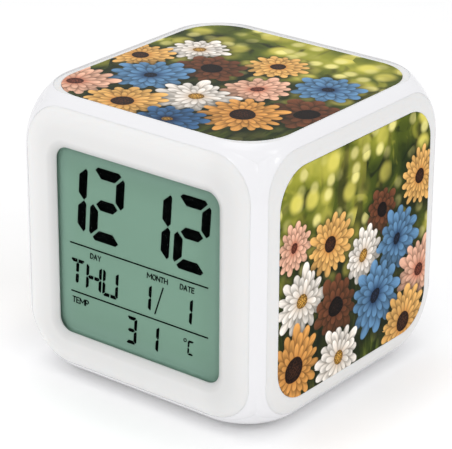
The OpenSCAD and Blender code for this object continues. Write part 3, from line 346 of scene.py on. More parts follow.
keep(plastic("wire_red", (0.45, 0.02, 0.015), 0.35, 0.06, grain=0.2, grain_size=0.5))
keep(plastic("wire_black", (0.015, 0.015, 0.015), 0.38, 0.1, grain=0.2, grain_size=0.5))
keep(plastic("wire_grey", (0.2, 0.2, 0.21), 0.38, 0.06, grain=0.2, grain_size=0.5))
keep(plastic("foot_rubber", (0.045, 0.045, 0.048), 0.8, 0.1, grain=0.8, grain_size=0.3, specular=0.3))
keep(metal("screw_steel", (0.62, 0.61, 0.58), 0.34, (1.0, 1.0, 1.0), pits=0.1))
keep(metal("crystal_can", (0.68, 0.68, 0.69), 0.26, (12.0, 1.0, 12.0)))
keep(metal("switch_can", (0.62, 0.62, 0.63), 0.32, (1.0, 12.0, 12.0)))
keep(metal("contact_nickel", (0.66, 0.63, 0.57), 0.3, (12.0, 1.0, 1.0)))
keep(metal("speaker_steel", (0.36, 0.36, 0.38), 0.36, (6.0, 6.0, 1.0), pits=0.15))


def front_of_panel():
    """Milky front panel: paler near its edge as painted light, greyer on the bevel and at its right end as
    painted shade.
    """
    seam_light_width, bevel_w, shade_rim_from = 7.5 * MM, 2.6 * MM, 1.5 * MM
    fade, right_shade_from, right_shade_to = 20.0 * MM, 20.0 * MM, 28.0 * MM
    s = plastic("front_panel", None, 0.33, grain=0.06, wave=0.05, soft=0.35)
    x, y, z = s.split(s.place)
    edge = s.depth(x, s.math("SUBTRACT", z, MID_Z * MM), PANEL_W, PANEL_H, PANEL_R)
    # Painted light: the face is paler near its edge, standing in for the light that its rolled rim catches.
    painted_seam_light = s.span(edge, 0.0, seam_light_width, 1.055, 0.955)
    window = s.depth(x, s.math("SUBTRACT", z, WINDOW_Z * MM), WINDOW_W, WINDOW_H, WINDOW_R)
    # Painted shade on the bevel round the window: greyer in two steps towards the window, and greyer at the
    # top, where the bevel faces down, than at the bottom.
    painted_bevel_shade = s.span(z, MID_Z * MM - fade, MID_Z * MM + fade, 0.935, 0.9)
    slope, rim = s.span(window, -bevel_w, -shade_rim_from, 1.0, painted_bevel_shade), s.span(window, -shade_rim_from, 0.0, 1.0, painted_bevel_shade)
    base = s.mix(s.noise(s.place, CLOUD, 4.0), (0.783, 0.778, 0.77), (0.797, 0.792, 0.784))
    # Painted shade: the face greyer towards its right end.
    turned = s.span(x, right_shade_from, right_shade_to, 1.0, 0.945)
    return s.set(Base_Color=s.shaded(base, s.product(turned, painted_seam_light, slope, rim)))


def layers():
    """Conductive rubber: thin black and grey layers along its length."""
    s = plastic("zebra_rubber", None, 0.6)
    band = s.span(s.waves(s.split(s.place)[0], pitch=0.4 * MM), -0.4, 0.4)
    return s.set(Base_Color=s.mix(band, (0.02, 0.02, 0.02), (0.24, 0.24, 0.25)))


def board():
    """Green solder mask over copper tracks, with tinned holes and white position marks."""
    s = Shader("board_green")
    x, y, z = s.split(s.place)
    flat = s.merge(x, z, 0.0)
    bend = s.vec("SCALE", s.merge(s.noise(flat, 90.0, 0.0), s.noise(flat, 70.0, 0.0), 0.0), 4.0 * MM)
    tracks = s.cells(s.vec("ADD", flat, bend), 260.0, feature="DISTANCE_TO_EDGE")
    line = s.span(tracks.outputs["Distance"], 0.05, 0.09, 1.0, 0.0)
    via = s.cells(flat, 330.0, random=0.8)
    chosen = s.over(s.split(via.outputs["Color"])[0], 0.72)
    ring = s.product(s.span(via.outputs["Distance"], 0.15, 0.18, 1.0, 0.0), chosen)
    # Painted shade: the middles of the holes are near black, for the depth of the holes.
    hole = s.product(s.span(via.outputs["Distance"], 0.06, 0.075, 1.0, 0.0), chosen)
    mark = s.cells(flat, 120.0, random=0.9)
    off = s.math("ABSOLUTE", s.math("SUBTRACT", mark.outputs["Distance"], 0.27))
    printed = s.span(off, 0.012, 0.02, 1.0, 0.0)
    print_line = s.product(printed, s.over(s.split(mark.outputs["Color"])[1], 0.6), 0.85)
    mask = s.mix(s.noise(flat, 500.0, 3.0), (0.012, 0.085, 0.035), (0.02, 0.115, 0.05))
    mask = s.mix(line, mask, (0.05, 0.2, 0.075))
    mask = s.mix(print_line, mask, (0.75, 0.77, 0.74))
    mask = s.mix(ring, mask, (0.62, 0.6, 0.54))
    s.set(Base_Color=s.mix(hole, mask, (0.01, 0.012, 0.01)), Metallic=ring, IOR=PLASTIC_IOR)
    s.set(Roughness=s.span(s.noise(flat, 300.0, 3.0), LOW, HIGH, 0.22, 0.34))
    return s.set(Normal=s.bump(s.math("ADD", line, ring), 0.35, GRAIN_DEPTH))


def sleeve_of_capacitor():
    """Dark blue shrunk sleeve with a pale stripe, and a scored aluminium end."""
    s = Shader("capacitor_sleeve")
    nx, ny, nz = s.normal()
    end = s.over(ny, 0.8)
    dash = s.over(s.waves(s.split(s.place)[1], pitch=1.8 * MM), 0.1)
    paint = s.mix(s.product(s.span(nz, 0.82, 0.86), dash), (0.012, 0.02, 0.085), (0.45, 0.5, 0.58))
    s.set(Base_Color=s.mix(end, paint, (0.7, 0.7, 0.71)), Metallic=end, IOR=PLASTIC_IOR)
    s.set(Roughness=s.span(s.noise(s.place, 700.0), LOW, HIGH, 0.2, 0.34))
    return s.set(Normal=s.bump(s.noise(s.place, 450.0), 0.2, 0.05 * MM))


def resistor():
    """Black ceramic chip with a glassy top and tinned ends."""
    s = Shader("resistor_body")
    nx, ny, nz = s.normal()
    tinned = s.over(s.math("ABSOLUTE", nx), 0.7)
    glass = s.mix(s.noise(s.place, 1500.0), (0.014, 0.014, 0.016), (0.03, 0.03, 0.034))
    body = s.mix(s.over(s.math("ABSOLUTE", nz), 0.7), glass, (0.55, 0.55, 0.53))
    s.set(Base_Color=s.mix(tinned, body, (0.68, 0.67, 0.64)), Metallic=tinned)
    return s.set(Roughness=s.span(s.noise(s.place, 1200.0), LOW, HIGH, 0.3, 0.5))


def clear_epoxy():
    """Clear epoxy, as light-emitting diodes are cast in."""
    s = plastic("led_epoxy", (0.86, 0.88, 0.9), vary=0.01)
    s.set(Transmission_Weight=0.65, IOR=1.52)
    return s.set(Roughness=s.span(s.noise(s.place, 600.0), LOW, HIGH, 0.05, 0.14))


def bead():
    """Dark epoxy drop on two tinned legs."""
    leg_len = 3.7 * MM
    s = Shader("sensor_bead")
    epoxy = s.over(s.split(s.place)[1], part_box("temperature_sensor")[0][1] + leg_len)
    brown = s.mix(s.noise(s.place, FLECK), (0.05, 0.02, 0.01), (0.09, 0.04, 0.018))
    s.set(Base_Color=s.mix(epoxy, (0.66, 0.65, 0.62), brown), Metallic=s.math("SUBTRACT", 1.0, epoxy))
    return s.set(Roughness=s.span(s.noise(s.place, 700.0), LOW, HIGH, 0.2, 0.36))


def header():
    """Natural nylon with a row of contact slots."""
    s = plastic("header_nylon", None, 0.45, grain=0.2)
    wave = s.waves(s.split(s.place)[0], pitch=1.25 * MM)
    # Painted shade: the slots in the front face are a dark brown, for the shade inside them.
    slot = s.product(s.over(wave, 0.45), s.over(s.normal()[1], 0.8))
    return s.set(Base_Color=s.mix(slot, (0.70, 0.64, 0.50), (0.12, 0.10, 0.07)))


def ribbon():
    """Flat cable: round cores side by side, the first one marked red."""
    core_pitch, first_core = 1.0 * MM, -3.0 * MM
    s = plastic("ribbon_grey", None, 0.42)
    x = s.split(s.place)[0]
    wave = s.math("ABSOLUTE", s.waves(x, 2 * core_pitch))
    core = s.mix(s.math("LESS_THAN", x, first_core), (0.36, 0.36, 0.38), (0.42, 0.05, 0.04))
    # Painted shade: darker grey in the creases between the cores.
    s.set(Base_Color=s.mix(s.span(wave, 0.0, 0.35), (0.12, 0.12, 0.13), core))
    return s.set(Normal=s.bump(wave, 0.8, 0.2 * MM))


def cone():
    """Dark film with rings pressed into it."""
    s = plastic("speaker_cone", None, 0.4)
    low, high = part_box("speaker_cone")
    x, y, z = s.split(s.vec("SUBTRACT", s.place, ((low[0] + high[0]) / 2, (low[1] + high[1]) / 2, 0.0)))
    rings = s.waves(s.vec("LENGTH", s.merge(x, y, 0.0)), pitch=1.8 * MM)
    # Painted light and shade: the film's tone rises and falls with its pressed rings.
    s.set(Base_Color=s.mix(s.span(rings, -1.0, 1.0), (0.02, 0.02, 0.022), (0.05, 0.05, 0.055)))
    return s.set(Normal=s.bump(rings, 0.7, 0.2 * MM))


def cell_wrap():
    """Battery cells: a dark wrap with a copper band at the plus end, turned about from cell to cell."""
    cell_dia, cell_gap = 10.4 * MM, 0.4 * MM
    s = Shader("cell_sleeve")
    low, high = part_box("battery_cells")
    x, y, z = s.split(s.place)
    row = s.math("FLOOR", s.math("DIVIDE", s.math("SUBTRACT", z, low[2] - cell_gap / 2), cell_dia + cell_gap))
    along = s.math("DIVIDE", s.math("SUBTRACT", x, low[0]), high[0] - low[0])
    share = s.math("ABSOLUTE", s.math("SUBTRACT", along, s.math("MODULO", row, 2.0)))
    end = s.over(s.math("ABSOLUTE", s.normal()[0]), 0.6)
    copper = s.span(share, 0.665, 0.67)
    ring = s.product(s.span(share, 0.65, 0.653), s.span(share, 0.665, 0.668, 1.0, 0.0))
    wear = s.noise(s.place, 320.0, 5.0, 0.6)
    dark = s.mix(wear, (0.018, 0.018, 0.02), (0.03, 0.03, 0.034))
    wrap = s.mix(copper, dark, s.mix(wear, (0.5, 0.26, 0.07), (0.6, 0.33, 0.1)))
    wrap = s.mix(ring, wrap, (0.75, 0.75, 0.76))
    s.set(Base_Color=s.mix(end, wrap, (0.66, 0.65, 0.62)))
    s.set(Metallic=s.math("MAXIMUM", end, s.math("MAXIMUM", ring, s.product(copper, 0.7))))
    return s.set(Roughness=s.span(wear, LOW, HIGH, 0.2, 0.36), Coat_Weight=0.3, Coat_Roughness=0.08)


# Display

def lens():
    """Clear acrylic: nearly invisible face on, with a sheen at a low angle."""
    s = Shader("clear_lens")
    sheen = s.add("ShaderNodeLayerWeight")
    sheen.inputs["Blend"].default_value = 0.25
    s.set(Base_Color=s.mix(s.noise(s.place, 200.0), (0.02, 0.028, 0.025), (0.03, 0.038, 0.035)), IOR=1.49)
    s.set(Roughness=s.span(s.noise(s.place, 300.0), LOW, HIGH, 0.02, 0.05))
    return s.set(Alpha=s.span(sheen.outputs["Facing"], 0.45, 1.0, 0.006, 0.35))


def display_face():
    """Liquid crystal cell: grey-green reflector behind a polarizer with a fine grain, darker at its edges as
    painted shade.
    """
    half_w, half_h = WINDOW_W / 2 * MM, WINDOW_H / 2 * MM
    margin, top, side = 6.0 * MM, half_h - 0.8 * MM, half_w - 1.4 * MM
    broad, narrow, foot = 9.0 * MM, 1.5 * MM, 14.0 * MM
    bright_from, bright_to = -half_h - 0.6 * MM, -half_h + 1.4 * MM
    s = Shader("display_cell")
    x, y, z = s.split(s.place)
    up = s.math("SUBTRACT", z, WINDOW_Z * MM)
    dx, dz = (s.math("SUBTRACT", half, s.math("ABSOLUTE", at)) for half, at in ((half_w, x), (half_h, up)))
    edge = s.span(s.math("SMOOTH_MIN", dx, dz, 4.0 * MM), 0.0, margin)
    grain = s.noise(s.place, 5200.0, 2.0)
    green = s.mix(s.noise(s.place, 28.0, 2.0), srgb(119, 153, 135), srgb(125, 159, 140))
    # Painted light: a paler green all round the rim, standing in against the shadow of the window's recess.
    green = s.mix(edge, srgb(128, 161, 145), green)
    # Painted light along the bottom edge, standing in against the shadow under the panel's web, and painted
    # shade in the band just above it.
    shade = s.product(s.span(up, bright_from, bright_to, 1.45, 1.0),
                      s.span(up, -half_h, foot - half_h, 0.93, 1.0))
    # Painted shade: darker towards the top edge and the right edge, in a broad and a narrow step.
    for at, end in ((up, top), (x, side)):
        shade = s.product(shade, s.span(at, end - broad, end, 1.0, 0.87, smooth=False),
                          s.span(at, end - narrow, end, 1.0, 0.9))
    speck = s.span(grain, LOW, HIGH, 0.0, 0.05)
    s.set(Base_Color=s.mix(speck, s.shaded(green, shade), srgb(104, 134, 121)))
    s.set(Roughness=0.5, Specular_IOR_Level=0.1)
    return s.set(Normal=s.bump(grain, 0.08, 0.01 * MM))


def segments():
    """Switched-on liquid crystal: black and matt."""
    s = Shader("display_segment")
    s.set(Base_Color=s.mix(s.noise(s.place, FLECK, 3.0), (0.0006, 0.001, 0.001), (0.0018, 0.0024, 0.0022)))
    return s.set(Roughness=s.span(s.noise(s.place, 500.0), LOW, HIGH, 0.5, 0.65), Specular_IOR_Level=0.0)


keep(front_of_panel(), layers(), board(), sleeve_of_capacitor(), resistor(), clear_epoxy(), bead(), header(),
     ribbon(), cone(), cell_wrap(), lens(), display_face(), segments())


# Pictures: a flower meadow in soft focus

# Half the width of a petal's soft edge, as a share of the flower's radius
SOFT = 0.02


def petal_ring():
    """One ring of petals over what is under it. Reach is a share of the flower's radius, 1 in Local."""
    g = Group("petal_ring", {"Under": "C", "Local": "V", "Turn": "F", "Petals": "F", "Reach": "F", "Tip": "C",
                             "Base": "C"})
    i = g.got
    local = g.after(i["Local"], i["Under"])
    x, y, z = g.split(local)
    r = g.vec("LENGTH", local)
    turn = g.math("ADD", g.math("ARCTAN2", y, x), i["Turn"])
    t = g.product(g.math("DIVIDE", turn, TAU), i["Petals"])
    cell = g.math("FLOOR", t)
    across = g.math("ABSOLUTE", g.math("MULTIPLY_ADD", g.math("FRACT", t), 2.0, -1.0))
    chance = g.add("ShaderNodeTexWhiteNoise", noise_dimensions="1D")
    g.join(g.math("MULTIPLY_ADD", i["Petals"], 7.31, g.math("MODULO", cell, i["Petals"])), chance.inputs["W"])
    luck = chance.outputs["Value"]
    reach = g.product(i["Reach"], g.math("MULTIPLY_ADD", luck, 0.2, 0.86))
    edge = g.product(reach, g.math("MULTIPLY_ADD", g.math("POWER", across, 2.4), -0.40, 1.0))
    along = g.math("DIVIDE", r, reach)
    shadow = g.span(r, edge, g.math("ADD", edge, 0.24), 0.42, 0.0)
    under = g.mix(shadow, i["Under"], (0.01, 0.015, 0.005))
    colour = g.mix(g.span(along, 0.15, 0.9), i["Base"], i["Tip"])
    vein = g.noise(g.merge(g.product(across, 2.2), g.product(along, 0.7), cell), 3.2, 2.0)
    shade = g.product(g.math("MULTIPLY_ADD", g.math("POWER", across, 3.0), -0.4, 1.0),
                      g.math("MULTIPLY_ADD", luck, 0.3, 0.82), g.math("MULTIPLY_ADD", vein, 0.7, 0.65),
                      g.span(along, 0.8, 1.0, 1.0, 1.14))
    within = g.span(r, g.math("SUBTRACT", edge, SOFT), g.math("ADD", edge, SOFT), 1.0, 0.0)
    g.join(g.mix(within, under, g.shaded(colour, shade)), g.give[0])
    return g.tree


RING = petal_ring()


def blossom():
    """A flower of three rings of petals and a domed heart, with its shadow on what is under it."""
    g = Group("blossom", {"Under": "C", "Point": "V", "Centre": "V", "Scale": "F", "Turn": "F", "Petals": "F",
                          "Tip": "C", "Base": "C", "Heart": "C", "Heart size": "F"})
    i = g.got
    point = g.after(i["Point"], i["Under"])
    local = g.vec("SCALE", g.vec("SUBTRACT", point, i["Centre"]), i["Scale"])
    way = g.merge(g.noise(point, 2.3, 1.0), g.noise(g.vec("ADD", point, (5.0, 3.0, 0.0)), 2.3, 1.0), 0.0)
    bend = g.vec("SUBTRACT", way, (0.5, 0.5, 0.0))
    local = g.vec("ADD", local, g.vec("SCALE", bend, 0.35))
    far = g.vec("LENGTH", g.vec("ADD", local, (-0.06, 0.12, 0.0)))
    colour = g.mix(g.span(far, 0.75, 1.35, 0.62, 0.0), i["Under"], (0.008, 0.012, 0.004))
    half = g.math("DIVIDE", math.pi, i["Petals"])
    for reach, halves in ((1.0, 0.0), (0.78, 1.0), (0.55, 0.5)):
        colour = g.use(RING, Under=colour, Local=local, Turn=g.math("MULTIPLY_ADD", half, halves, i["Turn"]),
                       Petals=i["Petals"], Reach=reach, Tip=i["Tip"], Base=i["Base"])
    r = g.vec("LENGTH", local)
    dots = g.cells(local, 16.0, random=0.7)
    seed = g.span(dots.outputs["Distance"], 0.1, 0.55, 1.5, 0.45)
    dome = g.span(r, 0.0, i["Heart size"], 1.25, 0.55)
    heart = g.shaded(i["Heart"], g.product(seed, dome))
    rim = g.math("ADD", i["Heart size"], SOFT)
    g.join(g.mix(g.span(r, i["Heart size"], rim, 1.0, 0.0), colour, heart), g.give[0])
    return g.tree


BLOSSOM = blossom()

# Kinds of flower: the colours of tip, base and heart, and the heart's share of the radius
GOLD = (srgb(233, 180, 104), srgb(186, 112, 46), srgb(64, 36, 20), 0.24)
AMBER = (srgb(222, 158, 84), srgb(160, 88, 34), srgb(54, 30, 18), 0.3)
DENIM = (srgb(98, 140, 178), srgb(30, 56, 92), srgb(24, 34, 54), 0.16)
NAVY = (srgb(62, 100, 140), srgb(20, 38, 66), srgb(160, 120, 60), 0.13)
CREAM = (srgb(244, 236, 226), srgb(206, 182, 156), srgb(196, 146, 66), 0.2)
PEACH = (srgb(236, 184, 156), srgb(192, 112, 84), srgb(110, 54, 38), 0.18)
RUSSET = (srgb(112, 66, 42), srgb(48, 25, 16), srgb(26, 14, 9), 0.3)


def meadow(s, u, v, seed, blooms):
    """Sunlit leaves out of focus behind, and flowers in front. u and v run from -1 to 1 over the plate."""
    p = s.merge(u, v, 0.0)
    q = s.vec("ADD", p, (seed, seed * 1.7, 0.0))
    light = s.noise(q, 1.15, 3.0, 0.55)
    high = s.math("MULTIPLY_ADD", v, 0.16, light)
    colour = s.ramp(high, [(0.26, srgb(16, 24, 8)), (0.44, srgb(38, 52, 14)), (0.58, srgb(84, 96, 26)),
                           (0.72, srgb(150, 152, 50)), (0.88, srgb(226, 220, 112))])
    twig = s.noise(s.vec("MULTIPLY", q, (3.2, 0.5, 1.0)), 1.6, 2.0)
    colour = s.mix(s.span(twig, 0.57, 0.68, 0.0, 0.6), colour, srgb(44, 34, 20))
    leaf = s.noise(q, 4.6, 2.0, 0.5, 0.8)
    colour = s.mix(s.span(leaf, 0.30, 0.46, 0.75, 0.0), colour, srgb(14, 22, 7))
    colour = s.mix(s.span(leaf, 0.56, 0.72, 0.0, 0.55), colour, srgb(176, 172, 66))
    for size, inner, outer, pale in ((2.6, 0.20, 0.50, (196, 190, 76)), (4.1, 0.18, 0.46, (234, 222, 104)),
                                     (6.2, 0.16, 0.44, (252, 242, 150))):
        c = s.cells(s.vec("ADD", q, (size, 0.0, 0.0)), size, random=0.85)
        lot = s.split(c.outputs["Color"])
        disc = s.span(c.outputs["Distance"], inner, outer, 1.0, 0.0)
        shown = s.span(s.math("MULTIPLY_ADD", lot[0], 0.6, light), 0.64, 0.98, 0.0, 0.88)
        glow = s.vec("SCALE", srgb(*pale), s.span(lot[1], 0.0, 1.0, 0.7, 1.0))
        colour = s.mix(s.product(disc, shown), colour, glow)
    stems = s.noise(s.vec("MULTIPLY", q, (5.5, 0.9, 1.0)), 2.4, 3.0, 0.55, 0.6)
    grass = s.ramp(stems, [(0.3, srgb(14, 20, 8)), (0.5, srgb(40, 54, 18)), (0.66, srgb(92, 106, 38)),
                           (0.8, srgb(156, 158, 72))])
    low_down = s.math("MULTIPLY_ADD", s.noise(q, 2.0, 2.0), 0.7, s.product(v, -1.0))
    colour = s.mix(s.span(low_down, 0.25, 0.8, 0.0, 0.9), colour, grass)
    for x, y, size, petals, turn, (tip, base, heart, heart_size) in blooms:
        colour = s.use(BLOSSOM, Under=colour, Point=p, Centre=(x, y, 0.0), Scale=1.0 / size, Turn=turn,
                       Petals=float(petals), Tip=tip, Base=base, Heart=heart, Heart_size=heart_size)
    return colour


def picture(name, seed, blooms):
    """Print under a clear glossy face. The coordinates run over the plate as its viewer sees it."""
    s = Shader(name)
    x, y, z = s.split(s.place)
    if name == "picture_top":
        u, v = s.math("DIVIDE", x, TOP_W / 2 * MM), s.math("DIVIDE", y, TOP_D / 2 * MM)
    else:
        side = 1.0 if name == "picture_right" else -1.0
        u = s.math("DIVIDE", y, side * SIDE_W / 2 * MM)
        v = s.math("DIVIDE", s.math("SUBTRACT", z, MID_Z * MM), SIDE_H / 2 * MM)
    s.set(Base_Color=meadow(s, u, v, seed, blooms), IOR=PLASTIC_IOR, Specular_IOR_Level=0.03)
    s.set(Roughness=s.span(s.noise(s.place, 350.0), LOW, HIGH, 0.16, 0.24))
    return s.set(Normal=s.bump(s.noise(s.place, 120.0, 2.0), 0.05, 0.3 * MM))


# Each flower: place, radius, petals in a ring, turn and kind
keep(picture("picture_right", 3.0, [
    (-0.82, 0.34, 0.22, 12, 0.5, PEACH), (0.86, 0.40, 0.26, 16, 0.1, GOLD),
    (0.34, 0.26, 0.22, 9, 0.4, RUSSET), (-0.34, 0.20, 0.28, 14, 0.2, GOLD),
    (0.10, -0.04, 0.24, 12, 0.6, CREAM), (0.58, -0.06, 0.30, 11, 1.1, DENIM),
    (-0.72, -0.16, 0.31, 13, 0.8, CREAM), (-0.26, -0.38, 0.30, 10, 0.7, RUSSET),
    (0.90, -0.46, 0.30, 14, 0.3, PEACH), (-0.80, -0.72, 0.36, 15, 0.4, AMBER),
    (0.28, -0.50, 0.35, 12, 0.2, DENIM), (-0.22, -0.86, 0.30, 13, 0.1, CREAM),
    (0.70, -0.88, 0.33, 15, 0.5, GOLD),
]))
keep(picture("picture_left", 11.0, [
    (0.80, 0.36, 0.25, 13, 0.5, CREAM), (-0.82, 0.26, 0.27, 11, 0.1, DENIM),
    (0.38, 0.20, 0.29, 15, 0.3, AMBER), (-0.38, 0.12, 0.27, 12, 0.7, PEACH),
    (0.04, -0.06, 0.28, 11, 0.2, NAVY), (0.76, -0.16, 0.30, 10, 0.6, RUSSET),
    (-0.76, -0.30, 0.34, 16, 0.4, GOLD), (0.36, -0.42, 0.31, 13, 0.9, CREAM),
    (-0.22, -0.46, 0.31, 10, 0.2, RUSSET), (0.86, -0.70, 0.33, 12, 0.5, DENIM),
    (-0.66, -0.86, 0.31, 13, 0.1, CREAM), (0.28, -0.90, 0.32, 15, 0.8, GOLD),
]))
keep(picture("picture_top", 23.0, [
    (-0.60, 0.36, 0.25, 13, 0.5, CREAM), (0.10, 0.42, 0.25, 14, 0.1, GOLD),
    (0.68, 0.26, 0.28, 11, 0.3, DENIM), (-0.88, 0.00, 0.27, 15, 0.7, GOLD),
    (-0.26, 0.08, 0.29, 10, 0.2, RUSSET), (0.28, -0.06, 0.26, 12, 0.6, PEACH),
    (-0.54, -0.30, 0.32, 12, 0.9, DENIM), (0.86, -0.26, 0.30, 10, 0.4, RUSSET),
    (0.02, -0.46, 0.33, 13, 0.2, CREAM), (-0.88, -0.74, 0.32, 13, 0.1, PEACH),
    (0.52, -0.56, 0.34, 16, 0.5, AMBER), (-0.34, -0.86, 0.32, 15, 0.8, GOLD),
    (0.16, -0.94, 0.28, 11, 0.4, NAVY),
]))

for part in record["subparts"]:
    for m in nodes[part["node"]].material_slots:
        m.link = "OBJECT"
        m.material = materials[part["material_slot"]]


# Panels with soft edges

def outline(w, h, r, n=14):
    """Points of a rounded outline, always the same number in the same order."""
    out = []
    for k, (sx, sy) in enumerate(((1, 1), (-1, 1), (-1, -1), (1, -1))):
        cx, cy = sx * (w / 2 - r), sy * (h / 2 - r)
        for i in range(n + 1):
            a = (k + i / n) * math.pi / 2
            out.append((cx + r * math.cos(a), cy + r * math.sin(a)))
    return out


def drop(x, y, w, h):
    """How far the rounded face of the case lies below its flat, at a place on the face."""
    ax, ay = abs(x) - (w / 2 - CORNER_R), abs(y) - (h / 2 - CORNER_R)
    if ax > 0 and ay > 0:
        q = CORNER_R - math.hypot(ax, ay)
    else:
        q = min(w / 2 - abs(x), h / 2 - abs(y))
    q = max(0.0, min(EDGE_R, q))
    return EDGE_R - math.sqrt(EDGE_R ** 2 - (EDGE_R - q) ** 2)


def surface(x, y, body_h, sink):
    """Depth of a panel's face below the crest of the case: on the case's curve, or flat where it is sunk."""
    return drop(x, y, BODY_W, body_h) if sink is None else sink


def ring_at(w, h, r, depth, shift=0.0):
    """A rounded ring on the face. depth is a number, or works out the depth from a place."""
    return [(x, y - shift, -(depth(x, y) if callable(depth) else depth)) for x, y in outline(w, h, r)]


def loft(verts, faces, rings, closed=True):
    """Adds rings of points to a mesh, joined one to the next and, if closed, the last to the first."""
    start, n = len(verts), len(rings[0])
    for ring in rings:
        verts.extend(ring)
    for k in range(len(rings) if closed else len(rings) - 1):
        a, b = start + k * n, start + ((k + 1) % len(rings)) * n
        for i in range(n):
            j = (i + 1) % n
            faces.append((a + i, a + j, b + j, b + i))


def piece(name, verts, faces, axes, origin, node, slot, finish=None, sharp=35.0):
    """A mesh from face coordinates in millimetres, in place of a CAD node."""
    ex, ey, ez = (Vector(a) for a in axes)
    mesh = bpy.data.meshes.new(name)
    places = [tuple((Vector(origin) + ex * x + ey * y + ez * z) * MM) for x, y, z in verts]
    mesh.from_pydata(places, [], faces)
    mesh.validate()
    solid = bmesh.new()
    solid.from_mesh(mesh)
    bmesh.ops.recalc_face_normals(solid, faces=solid.faces)
    solid.to_mesh(mesh)
    solid.free()
    mesh.shade_smooth()
    o = bpy.data.objects.new(name, mesh)
    scene.collection.objects.link(o)
    mesh.set_sharp_from_angle(angle=math.radians(sharp))
    mesh.materials.append(materials[finish or slot])
    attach(o, "case")
    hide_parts(node)


# A panel's rolled edge: way in from the seam and depth, as shares of SEAM_ROLL
EDGE_SHARES = [(0.0, 0.55), (0.03, 0.40), (0.10, 0.27), (0.22, 0.165), (0.40, 0.085), (0.62, 0.035),
               (0.9, 0.008), (1.2, 0.0)]
SEAM_ROLL = 0.12
# The window's bevel: way out from the window and depth, and the same for the seat of the lens
BEVEL = [(2.9, 0.0), (2.45, 0.012), (2.1, 0.05), (1.8, 0.115), (1.5, 0.225), (1.2, 0.37), (0.9, 0.55),
         (0.6, 0.75), (0.34, 0.93), (0.15, 1.08), (0.04, 1.22), (0.0, 1.36), (0.0, LENS_FRONT)]
LENS_SEAT = [(LENS_LAP, LENS_FRONT), (LENS_LAP, PANEL_T)]
# Rings of the front panel that follow the case's curve: the first one's way in, their pitch and number
CURVE_IN, CURVE_PITCH, CURVE_RINGS = 0.6, 0.5, 8
# Posts for the main board's screws
POST_X, POST_Y, POST_R, POST_SINK, BORE_R, BORE_DEPTH, POST_SIDES = 31.0, 20.0, 2.2, 0.2, 1.05, 3.0, 32


def face_rings(panel_h, body_h, sink=None):
    """Rings from the back over the seam: the panel's rolled edge, on the case's curve or on a sunk flat."""
    rings = [ring_at(PANEL_W, panel_h, PANEL_R, PANEL_T)]
    for inset, low in [(k * SEAM_ROLL - CLOSE, d * SEAM_ROLL) for k, d in EDGE_SHARES]:
        rings.append(ring_at(PANEL_W - 2 * inset, panel_h - 2 * inset, PANEL_R - inset,
                             lambda x, y: surface(x, y, body_h, sink) + low))
    return rings


def post(verts, faces, cx, cy, low):
    """A post behind the front panel with a bore for a screw."""
    n = POST_SIDES
    circle = [(math.cos(a * TAU / n), math.sin(a * TAU / n)) for a in range(n)]
    start = len(verts)
    loft(verts, faces, [[(cx + r * c, cy + r * d, z) for c, d in circle]
                        for r, z in ((POST_R, POST_SINK - PANEL_T), (POST_R, low), (BORE_R, low),
                                     (BORE_R, low + BORE_DEPTH))], closed=False)
    faces.append(tuple(range(start + n - 1, start - 1, -1)))
    faces.append(tuple(range(start + 3 * n, start + 4 * n)))


def window_ring(out, low, r):
    """A ring round the window, out from its edge and below the case's crest."""
    return ring_at(WINDOW_W + 2 * out, WINDOW_H + 2 * out, r, low, WINDOW_DROP)


def front_panel():
    """Front panel on the case's curve, with its bevelled window, the lens's seat and the board's posts."""
    verts, faces = [], []
    rings = face_rings(PANEL_H, BODY_H)
    for inset in [CURVE_IN + CURVE_PITCH * k for k in range(CURVE_RINGS)]:
        rings.append(ring_at(PANEL_W - 2 * inset, PANEL_H - 2 * inset, PANEL_R - inset,
                             lambda x, y: drop(x, y, BODY_W, BODY_H)))
    rings += [window_ring(out, low, WINDOW_R + out) for out, low in BEVEL]
    rings += [window_ring(out, low, WINDOW_R) for out, low in LENS_SEAT]
    loft(verts, faces, rings)
    low = -(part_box("main_board")[0][1] / MM + BODY_D / 2)
    for sx in (-1, 1):
        for sy in (-1, 1):
            post(verts, faces, sx * POST_X, sy * POST_Y, low)
    piece("front_bezel", verts, faces, ((1, 0, 0), (0, 0, 1), (0, -1, 0)), (0, -BODY_D / 2, MID_Z),
          "front_panel", "milky_panel", "front_panel")


# The pocket's softened rim: way out and depth; and what the lip's foot is cut back by
POCKET_RIM = [(0.14, 0.01), (0.05, 0.05), (0.0, 0.12)]
LIP_CUT = 0.2


